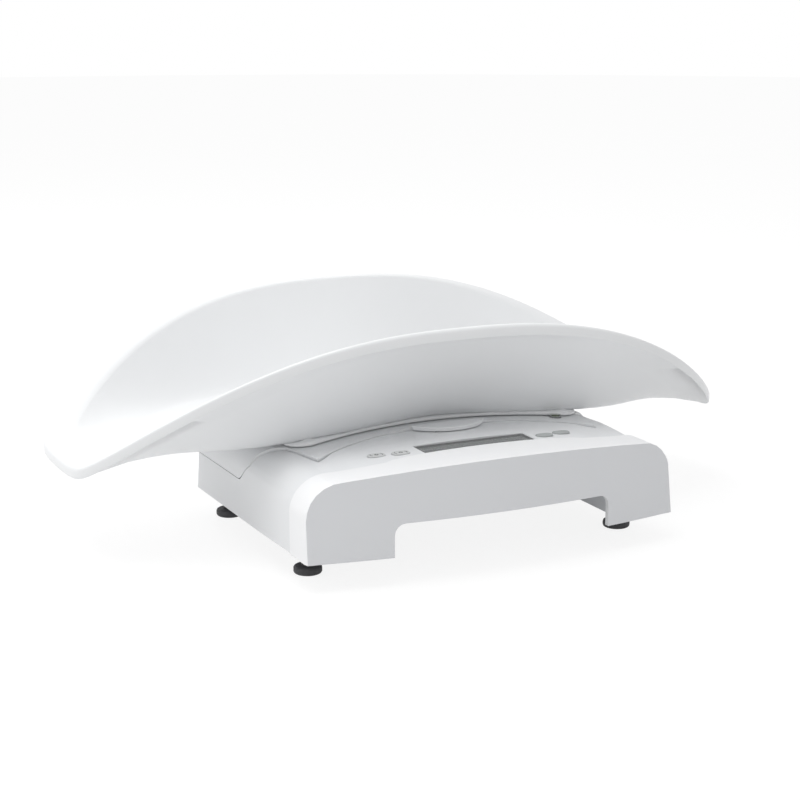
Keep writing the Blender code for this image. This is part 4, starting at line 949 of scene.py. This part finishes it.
@dataclass
class Display:
    """The window with its dark border, the glass and generic seven-segment figures."""

    figures: str = "0.00"
    digit: tuple[float, float] = (0.0050, 0.0105)
    gap: float = 0.0080
    stroke: float = 0.0010
    lean: float = 0.08

    def build(self) -> None:
        """Dress the window and the glass, and lay the figures on it."""
        low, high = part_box("display_window")
        middle = ((low[0] + high[0]) / 2, (low[1] + high[1]) / 2)
        half = ((high[0] - low[0]) / 2 - 0.0012, (high[1] - low[1]) / 2 - 0.0010)
        window = Bench.merged_copy("display_window")
        item = Bench.piece("window_sheet", window, WINDOW, "base", ("display_window",), "clear_window")
        item.data.materials.clear()
        item.data.materials.append(WindowPrint("window_print", middle, half).material())
        Bench.soften(item, 0.0004, 2)
        low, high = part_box("lcd_panel")
        panel = Bench.merged_copy("lcd_panel")
        glass = Bench.piece("lcd_glass", panel, LCD, "base", ("lcd_panel",), "lcd_grey")
        glass.data.materials.clear()
        glass.data.materials.append(GlassFilm("lcd_ground", low[1], high[1]).material())
        grid = bmesh.new()
        tall = self.digit[1]
        count = self.figures.count("0")
        x = (low[0] + high[0]) / 2 - self.gap * (count - 1) / 2
        y = (low[1] + high[1]) / 2
        for figure in self.figures:
            if figure == ".":
                spot = (x - self.gap / 2, y - tall / 2, high[2])
                Bench.plate(grid, spot, (self.stroke / 2, self.stroke / 2), SEGMENT_SHEET)
                continue
            self.zero(grid, x, y, high[2])
            x += self.gap
        Bench.piece("lcd_figures", grid, SEGMENT, "base", (), "", 30.0)

    def zero(self, grid: bmesh.types.BMesh, x: float, y: float, z: float) -> None:
        """Add a nought's six lit segments.

        Args:
            grid: the mesh that gets them.
            x: the figure's middle along X.
            y: its middle along Y.
            z: the height of the glass.
        """
        wide, tall = self.digit[0] / 2, self.digit[1] / 2
        flat = (wide - self.stroke * 0.4, self.stroke / 2)
        upright = (self.stroke / 2, tall / 2 - self.stroke * 0.3)
        upper = ((0.0, tall, flat), (wide, tall / 2, upright), (wide, -tall / 2, upright))
        lower = ((0.0, -tall, flat), (-wide, -tall / 2, upright), (-wide, tall / 2, upright))
        for dx, dy, size in upper + lower:
            Bench.plate(grid, (x + dx + dy * self.lean, y + dy, z), size, SEGMENT_SHEET)


@dataclass
class TraySeat:
    """The raised seat under the tray, with its light rounded lower edge."""

    tray: "TrayMoulding"
    form: BodyForm = field(default_factory=BodyForm)
    arc_radius: float = 0.380
    front: float = -0.0165
    back: float = 0.080
    half_width: float = 0.118
    corner: float = 0.012
    wall: float = 0.003
    lift: float = 0.0006
    section: tuple[tuple[float, float, float], ...] = (
        *((-0.0022, 0.0, 0.0), (-0.0036, 0.0, 0.0001), (-0.0044, 0.0, 0.0005), (-0.0047, 0.0, 0.0012)),
        *((-0.0046, 0.0, 0.0020), (-0.0040, 0.0, 0.0028), (-0.0030, 0.0, 0.0034), (-0.0012, 0.0, 0.0041)),
        *((0.0006, 0.0, 0.0050), (0.0016, 0.5, 0.0), (0.0024, 1.0, -0.0008), (0.0054, 1.0, -0.0008)),
        *((0.0054, 0.0, 0.0010), (0.0030, 0.0, 0.0)),
    )

    def arc(self, x: float, inset: float) -> float:
        """World Y of the seat's front edge, moved back by an inset."""
        return FEET_Y + self.front + inset - self.arc_radius + math.sqrt(self.arc_radius**2 - x * x)

    def outline(self, inset: float) -> list[Vector]:
        """Top view of the seat, moved in by an inset.

        Args:
            inset: the distance inside the outer face.

        Returns:
            The outline's points.
        """
        half = self.half_width - inset
        rear = FEET_Y + self.back - inset
        round_in = max(self.corner - inset, 0.001)
        reach = half - round_in
        edge = self.arc(reach, inset)
        turn = edge + round_in
        points = []
        for i in range(49):
            x = -reach + 2 * reach * i / 48
            points.append(Vector((x, self.arc(x, inset))))
        for i in range(1, 9):
            angle = -math.pi / 2 + math.pi / 2 * i / 8
            points.append(Vector((reach + round_in * math.cos(angle), turn + round_in * math.sin(angle))))
        for i in range(1, 24):
            points.append(Vector((half, turn + (rear - edge - round_in) * i / 24)))
        for i in range(40):
            points.append(Vector((half - 2 * half * i / 39, rear)))
        for i in range(1, 24):
            points.append(Vector((-half, rear - (rear - edge - round_in) * i / 24)))
        for i in range(8):
            angle = math.pi + math.pi / 2 * i / 8
            points.append(Vector((-reach + round_in * math.cos(angle), turn + round_in * math.sin(angle))))
        return points

    def build(self) -> None:
        """Make the seat's strip, and keep the pegs and the catch's lug from the CAD tray."""
        rings = []
        for inset, share, rise in self.section:
            ring = []
            for spot in self.outline(inset):
                low = self.form.crown(spot.x) + self.lift
                high = self.tray.height_at(spot.x, spot.y - TRAY_Y) - self.wall
                high = max(high, low + 0.0015)
                level = low + (high - low) * share + rise
                ring.append(Vector((spot.x, spot.y, min(level, max(high, low + 0.0009 + rise * 0.4)))))
            rings.append(ring)
        grid = Loft.rings(rings, close=True)
        Bench.piece("tray_seat", grid, WHITE_TRAY, "tray", (), "white_tray", 50.0)
        grid = Bench.merged_copy("tray")
        geom = [*grid.verts, *grid.edges, *grid.faces]
        spot = (0.0, 0.0, self.form.crown(0.090) + self.lift)
        up = (0.0, 0.0, 1.0)
        bmesh.ops.bisect_plane(grid, geom=geom, dist=1e-6, plane_co=spot, plane_no=up, clear_outer=True)
        outer = [v for v in grid.verts if abs(v.co.x) > 0.084 or abs(v.co.y - FEET_Y - 0.025) > 0.048]
        bmesh.ops.delete(grid, geom=outer, context="VERTS")
        edges = [e for e in grid.edges if e.is_boundary]
        bmesh.ops.holes_fill(grid, edges=edges, sides=0)
        Bench.piece("tray_pegs", grid, WHITE_TRAY, "tray", (), "white_tray", 30.0)


@dataclass
class TrayMoulding:
    """The tray: a rolled lip, a narrow flange and a shallow basin, with its raised seat below."""

    length: float = 0.5476
    width: float = 0.256
    reach_share: float = 1.0866
    side_power: float = 3.16
    end_power: float = 1.52
    middle_height: float = 0.157
    tip_height: float = 0.040
    span: float = 0.2949
    rim_power: float = 2.52
    blend: float = 0.0099
    lip: float = 0.009
    wall: float = 0.003
    bead: float = 0.0042
    flange_side: float = 0.0075
    flange_end: float = 0.024
    flange_rise: float = 0.005
    floor_height: float = 0.091
    floor_drop: float = 0.020
    floor_power: float = 1.5
    flat_shares: tuple[float, float, float] = (0.565, 0.735, -0.60)
    soft: float = 0.07
    sides: int = 224
    steps: int = 46
    bead_rings: int = 13
    free_rings: int = 3
    lip_profile: tuple[tuple[float, float], ...] = (
        *((0.0019, 0.0008), (0.0013, 0.0001), (0.0008, 0.0), (0.0004, 0.0002), (0.0001, 0.0006)),
        *((0.0, 0.0012), (0.0, 0.0035), (0.0, 0.0060), (0.0002, 0.0070), (0.0006, 0.0078)),
        *((0.0013, 0.0085), (0.0022, 0.0089), (0.0032, 0.0090)),
    )

    def edge(self, angle: float) -> Vector:
        """Outer edge of the lip at an angle, at the lip's lower height.

        Args:
            angle: the angle about the tray's middle, in radians.

        Returns:
            The point, measured from the tray's middle line.
        """
        reach = self.length / 2 * self.reach_share
        x = reach * math.cos(angle)
        share = max(0.0, 1 - abs(x / reach) ** self.side_power)
        y = math.copysign(self.width / 2 * share ** (1 / self.end_power), math.sin(angle))
        gap = abs(x) - self.length / 2
        x = math.copysign((abs(x) + self.length / 2 - math.hypot(gap, self.blend)) / 2, x)
        drop = self.middle_height - self.tip_height
        z = self.middle_height - drop * (abs(x) / self.span) ** self.rim_power
        z = (self.tip_height + z + math.hypot(self.tip_height - z, self.blend)) / 2
        return Vector((x, y, z))

    def angles(self, samples: int = 2880) -> list[float]:
        """Angles of points that lie evenly round the lip.

        Args:
            samples: how finely the edge is measured.

        Returns:
            One angle for each side.
        """
        fine = [math.tau * i / samples for i in range(samples + 1)]
        run = [0.0]
        for a, b in zip(fine, fine[1:]):
            run.append(run[-1] + (self.edge(b) - self.edge(a)).length)
        found = []
        j = 0
        for i in range(self.sides):
            target = run[-1] * i / self.sides
            while run[j + 1] < target:
                j += 1
            share = (target - run[j]) / (run[j + 1] - run[j])
            found.append(fine[j] + (fine[j + 1] - fine[j]) * share)
        return found

    def rim(self, point: Vector, inset: float, rise: float) -> Vector:
        """A point of the lip's section, moved in and up.

        Args:
            point: the lip's outer lower point.
            inset: the way in towards the tray's middle.
            rise: the way up.

        Returns:
            The moved point.
        """
        flat = Vector((point.x, point.y))
        flat *= 1 - inset / flat.length
        return Vector((flat.x, flat.y, point.z + rise))

    def inner(self, point: Vector) -> Vector:
        """Inner edge of the flange beside a point of the lip.

        Args:
            point: the lip's outer lower point.

        Returns:
            The flange's inner point.
        """
        share = abs(2 * point.x / self.length)
        x = point.x * (1 - 2 * self.flange_end / self.length)
        y = point.y * (1 - 2 * self.flange_side / self.width)
        return Vector((x, y, point.z + self.lip - 0.001 + self.flange_rise * share**6))

    def basin(self, point: Vector, along: float) -> Vector:
        """A point of the basin between the middle and an inner flange point.

        Args:
            point: the flange's inner point.
            along: the share of the way out from the middle.

        Returns:
            The basin's point.
        """
        share = abs(2 * point.x / self.length)
        flat = self.flat_shares[0] + self.flat_shares[1] * share**2 + self.flat_shares[2] * share**4
        rise = 0.0
        if flat < 1:
            run = max(0.0, (along - flat) / (1 - flat))
            low = self.soft**1.4
            rise = ((run * run + self.soft**2) ** 0.7 - low) / ((1 + self.soft**2) ** 0.7 - low)
        x = point.x * along
        floor = self.floor_height - self.floor_drop * (2 * abs(x) / self.length) ** self.floor_power
        return Vector((x, point.y * along, floor + (point.z - floor) * rise))

    def height_at(self, x: float, y: float) -> float:
        """Height of the basin over a point of the plan.

        Args:
            x: the point's place along the tray.
            y: its place across the tray, from the middle line.

        Returns:
            The height in metres.
        """
        low, high = 0.0, math.pi / 2
        for _ in range(40):
            middle = (low + high) / 2
            spot = self.inner(self.edge(middle))
            if spot.y * abs(x) < abs(y) * spot.x:
                low = middle
            else:
                high = middle
        spot = self.inner(self.edge((low + high) / 2))
        along = math.hypot(x, y) / math.hypot(spot.x, spot.y)
        return self.basin(spot, along).z

    def upper_rings(self) -> list[list[Vector]]:
        """Rings of the lip, the flange and the basin, from the outside in.

        Returns:
            The rings' points.
        """
        edge = [self.edge(angle) for angle in self.angles()]
        rings = [[self.rim(p, inset, rise) for p in edge] for inset, rise in self.lip_profile]
        inner = [self.inner(p) for p in edge]
        rings.append([a.lerp(b, 0.5) for a, b in zip(rings[-1], inner)])
        rings.append(inner)
        for step in range(1, self.steps):
            along = 1 - (step / self.steps) ** 1.35
            rings.append([self.basin(p, along) for p in inner])
        return rings

    def build(self) -> None:
        """Make the tray and its seat."""
        rings = self.upper_rings()
        first = len(self.lip_profile) + 1
        outer = []
        for k in range(first + self.free_rings, len(rings)):
            ring = rings[k]
            inward = rings[min(k + 1, len(rings) - 1)]
            thick = self.wall + self.bead * max(0.0, 1 - (k - first) / self.bead_rings) ** 2
            moved = []
            for i in range(self.sides):
                across = ring[(i + 1) % self.sides] - ring[i - 1]
                normal = across.cross(inward[i] - rings[k - 1][i]).normalized()
                if normal.z < 0:
                    normal.negate()
                moved.append(ring[i] - normal * thick)
            outer.append(moved)
        grid = Loft.rings([*reversed(outer), *rings], TRAY_Y)
        item = Bench.piece("tray_moulding", grid, WHITE_TRAY, "tray", ("tray",), "white_tray", 80.0)
        log.info("%s has %d faces", item.name, len(item.data.polygons))
        TraySeat(self).build()


class Loft:
    """Makes closed skins by extruding one ring of edges after another."""

    @staticmethod
    def rings(rings: Sequence[Ring], shift: float = 0.0, close: bool = False) -> bmesh.types.BMesh:
        """Extrude a ring through a list of rings.

        Args:
            rings: rings of as many points each.
            shift: a shift along Y for every point.
            close: whether the last ring joins the first, as on a tube's section.

        Returns:
            The closed skin.
        """
        grid = bmesh.new()
        made = bmesh.ops.create_circle(grid, cap_ends=False, segments=len(rings[0]), radius=1.0)
        order = sorted(made["verts"], key=lambda v: math.atan2(v.co.y, v.co.x) % math.tau)
        Loft.place(order, rings[0], shift)
        first = order
        for ring in rings[1:]:
            fresh = bmesh.ops.extrude_edge_only(grid, edges=Loft.between(grid, order))["geom"]
            new = {g for g in fresh if isinstance(g, Vert)}
            near = [[edge.other_vert(old) for edge in old.link_edges] for old in order]
            order = [next(other for other in others if other in new) for others in near]
            Loft.place(order, ring, shift)
        ends = Loft.between(grid, order), Loft.between(grid, first)
        if close:
            bmesh.ops.bridge_loops(grid, edges=ends[0] + ends[1])
        else:
            for end in ends:
                bmesh.ops.contextual_create(grid, geom=end)
        bmesh.ops.recalc_face_normals(grid, faces=grid.faces)
        return grid

    @staticmethod
    def place(verts: Sequence[Vert], ring: Ring, shift: float) -> None:
        """Move a ring's vertices to their points."""
        for vert, point in zip(verts, ring):
            vert.co = (point.x, point.y + shift, point.z)

    @staticmethod
    def between(grid: bmesh.types.BMesh, order: Sequence[Vert]) -> list[bmesh.types.BMEdge]:
        """The edges that join neighbours of a closed ring."""
        found = [grid.edges.get(pair) for pair in zip(order, [*order[1:], order[0]])]
        return [edge for edge in found if edge]


class NodeDresser:
    """Gives each CAD node that stays in view its procedural material."""

    def build(self) -> None:
        """Assign a finish to every node by its material slot."""
        slots = {entry["node"]: entry["material_slot"] for entry in frame["record"]["subparts"]}
        for name, item in frame["nodes"].items():
            item.data.materials.clear()
            item.data.materials.append(CAD_FINISHES[slots[name]].material())
        log.info("%d nodes dressed", len(slots))


@dataclass
class Studio:
    """Floor, soft lights, a pale world and the camera."""

    target: Vector = field(default_factory=lambda: Vector((0.0, 0.0, 0.05)))
    place: Vector = field(default_factory=lambda: Vector((-0.6153, -1.2584, 0.4219)))
    turn: tuple[float, float, float] = (76.75, 0.0, -25.75)
    lens: float = 83.25
    sky: float = 0.60
    floor_radius: float = 6.0
    floor_paper: float = 0.9
    floor_glow: float = 1.08
    floor_share: float = 0.80
    lamps: tuple[tuple[str, Spot, float, float], ...] = (
        ("overhead", (-0.45, -0.15, 1.6), 0.9, 10.5),
        ("rear", (-0.5, 1.1, 1.5), 1.0, 8.0),
        ("side", (-1.5, 0.5, 0.8), 1.0, 3.0),
    )

    def build(self) -> None:
        """Set up the whole studio."""
        self.camera()
        self.world()
        self.floor()
        for name, place, size, power in self.lamps:
            self.lamp(name, place, size, power)
        bpy.context.scene.view_settings.view_transform = "Standard"

    def camera(self) -> None:
        """Make the camera at the photograph's angle."""
        data = bpy.data.cameras.new("camera")
        data.lens = self.lens
        data.sensor_width = 36.0
        data.clip_start = 0.05
        data.clip_end = 50.0
        item = bpy.data.objects.new("camera", data)
        item.location = self.place
        item.rotation_euler = tuple(math.radians(a) for a in self.turn)
        bpy.context.scene.collection.objects.link(item)
        bpy.context.scene.camera = item

    def lamp(self, name: str, place: Spot, size: float, power: float) -> None:
        """Make a square area lamp aimed at the object.

        Args:
            name: the lamp's name.
            place: where it hangs, in metres.
            size: the length of its side in metres.
            power: its power in watts.
        """
        data = bpy.data.lights.new(name, "AREA")
        data.size = size
        data.energy = power
        item = bpy.data.objects.new(name, data)
        item.location = place
        item.rotation_euler = (self.target - item.location).to_track_quat("-Z", "Y").to_euler()
        bpy.context.scene.collection.objects.link(item)

    @staticmethod
    def sees(wires: Wires) -> bpy.types.Node:
        """Tell the camera's, transmitted and mirrored rays from those that light.

        Args:
            wires: the tree that gets the nodes.

        Returns:
            A node whose Value is 1 for those rays and 0 for the others.
        """
        path = wires.node("LightPath")
        seen = wires.node("Math", operation="MAXIMUM")
        mirrored = wires.node("Math", operation="MAXIMUM")
        wires.join(
            (path, "Is Camera Ray", seen, 0), (path, "Is Transmission Ray", seen, 1),
            (seen, "Value", mirrored, 0), (path, "Is Glossy Ray", mirrored, 1),
        )
        return mirrored

    def world(self) -> None:
        """Light the scene evenly, and show white to the camera and to reflections."""
        world = bpy.data.worlds.new("studio")
        bpy.context.scene.world = world
        world.use_nodes = True
        wires = Wires(world.node_tree)
        wires.tree.nodes.clear()
        pure = (1.0, 1.0, 1.0, 1.0)
        dim = wires.node("Background", {"Color": pure, "Strength": self.sky})
        white = wires.node("Background", {"Color": pure, "Strength": 1.0})
        blend = wires.node("MixShader")
        wires.join(
            (self.sees(wires), "Value", blend, "Fac"),
            (dim, "Background", blend, 1), (white, "Background", blend, 2),
            (blend, "Shader", wires.node("OutputWorld"), "Surface"),
        )

    def floor(self) -> None:
        """Lay a pale round floor that shows white, keeps a soft shadow and is clear from below."""
        grid = bmesh.new()
        bmesh.ops.create_circle(grid, cap_ends=True, segments=64, radius=self.floor_radius)
        mesh = bpy.data.meshes.new("floor")
        grid.to_mesh(mesh)
        grid.free()
        item = bpy.data.objects.new("floor", mesh)
        bpy.context.scene.collection.objects.link(item)
        wires, made, _ = Wires.surface("floor_paper")
        wires.tree.nodes.clear()
        paper = wires.node("BsdfDiffuse", {"Color": (*[self.floor_paper] * 3, 1.0)})
        glow = wires.node("Emission", {"Strength": self.floor_glow})
        share = wires.node("Math", {1: self.floor_share}, operation="MULTIPLY")
        blend = wires.node("MixShader")
        under = wires.node("MixShader")
        wires.join(
            (self.sees(wires), "Value", share, 0),
            (share, "Value", blend, "Fac"), (paper, "BSDF", blend, 1), (glow, "Emission", blend, 2),
            (wires.node("NewGeometry"), "Backfacing", under, "Fac"),
            (blend, "Shader", under, 1),
            (wires.node("BsdfTransparent"), "BSDF", under, 2),
            (under, "Shader", wires.node("OutputMaterial"), "Surface"),
        )
        item.data.materials.append(made)


def main() -> None:
    """Build the studio and dress every piece."""
    logging.basicConfig(level=logging.INFO)
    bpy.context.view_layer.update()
    Studio().build()
    NodeDresser().build()
    HousingSkin().build()
    PlatformSkin().build()
    SmallMouldings().build()
    KeyRow().build()
    Display().build()
    TrayMoulding().build()


if __name__ == "__main__":
    main()
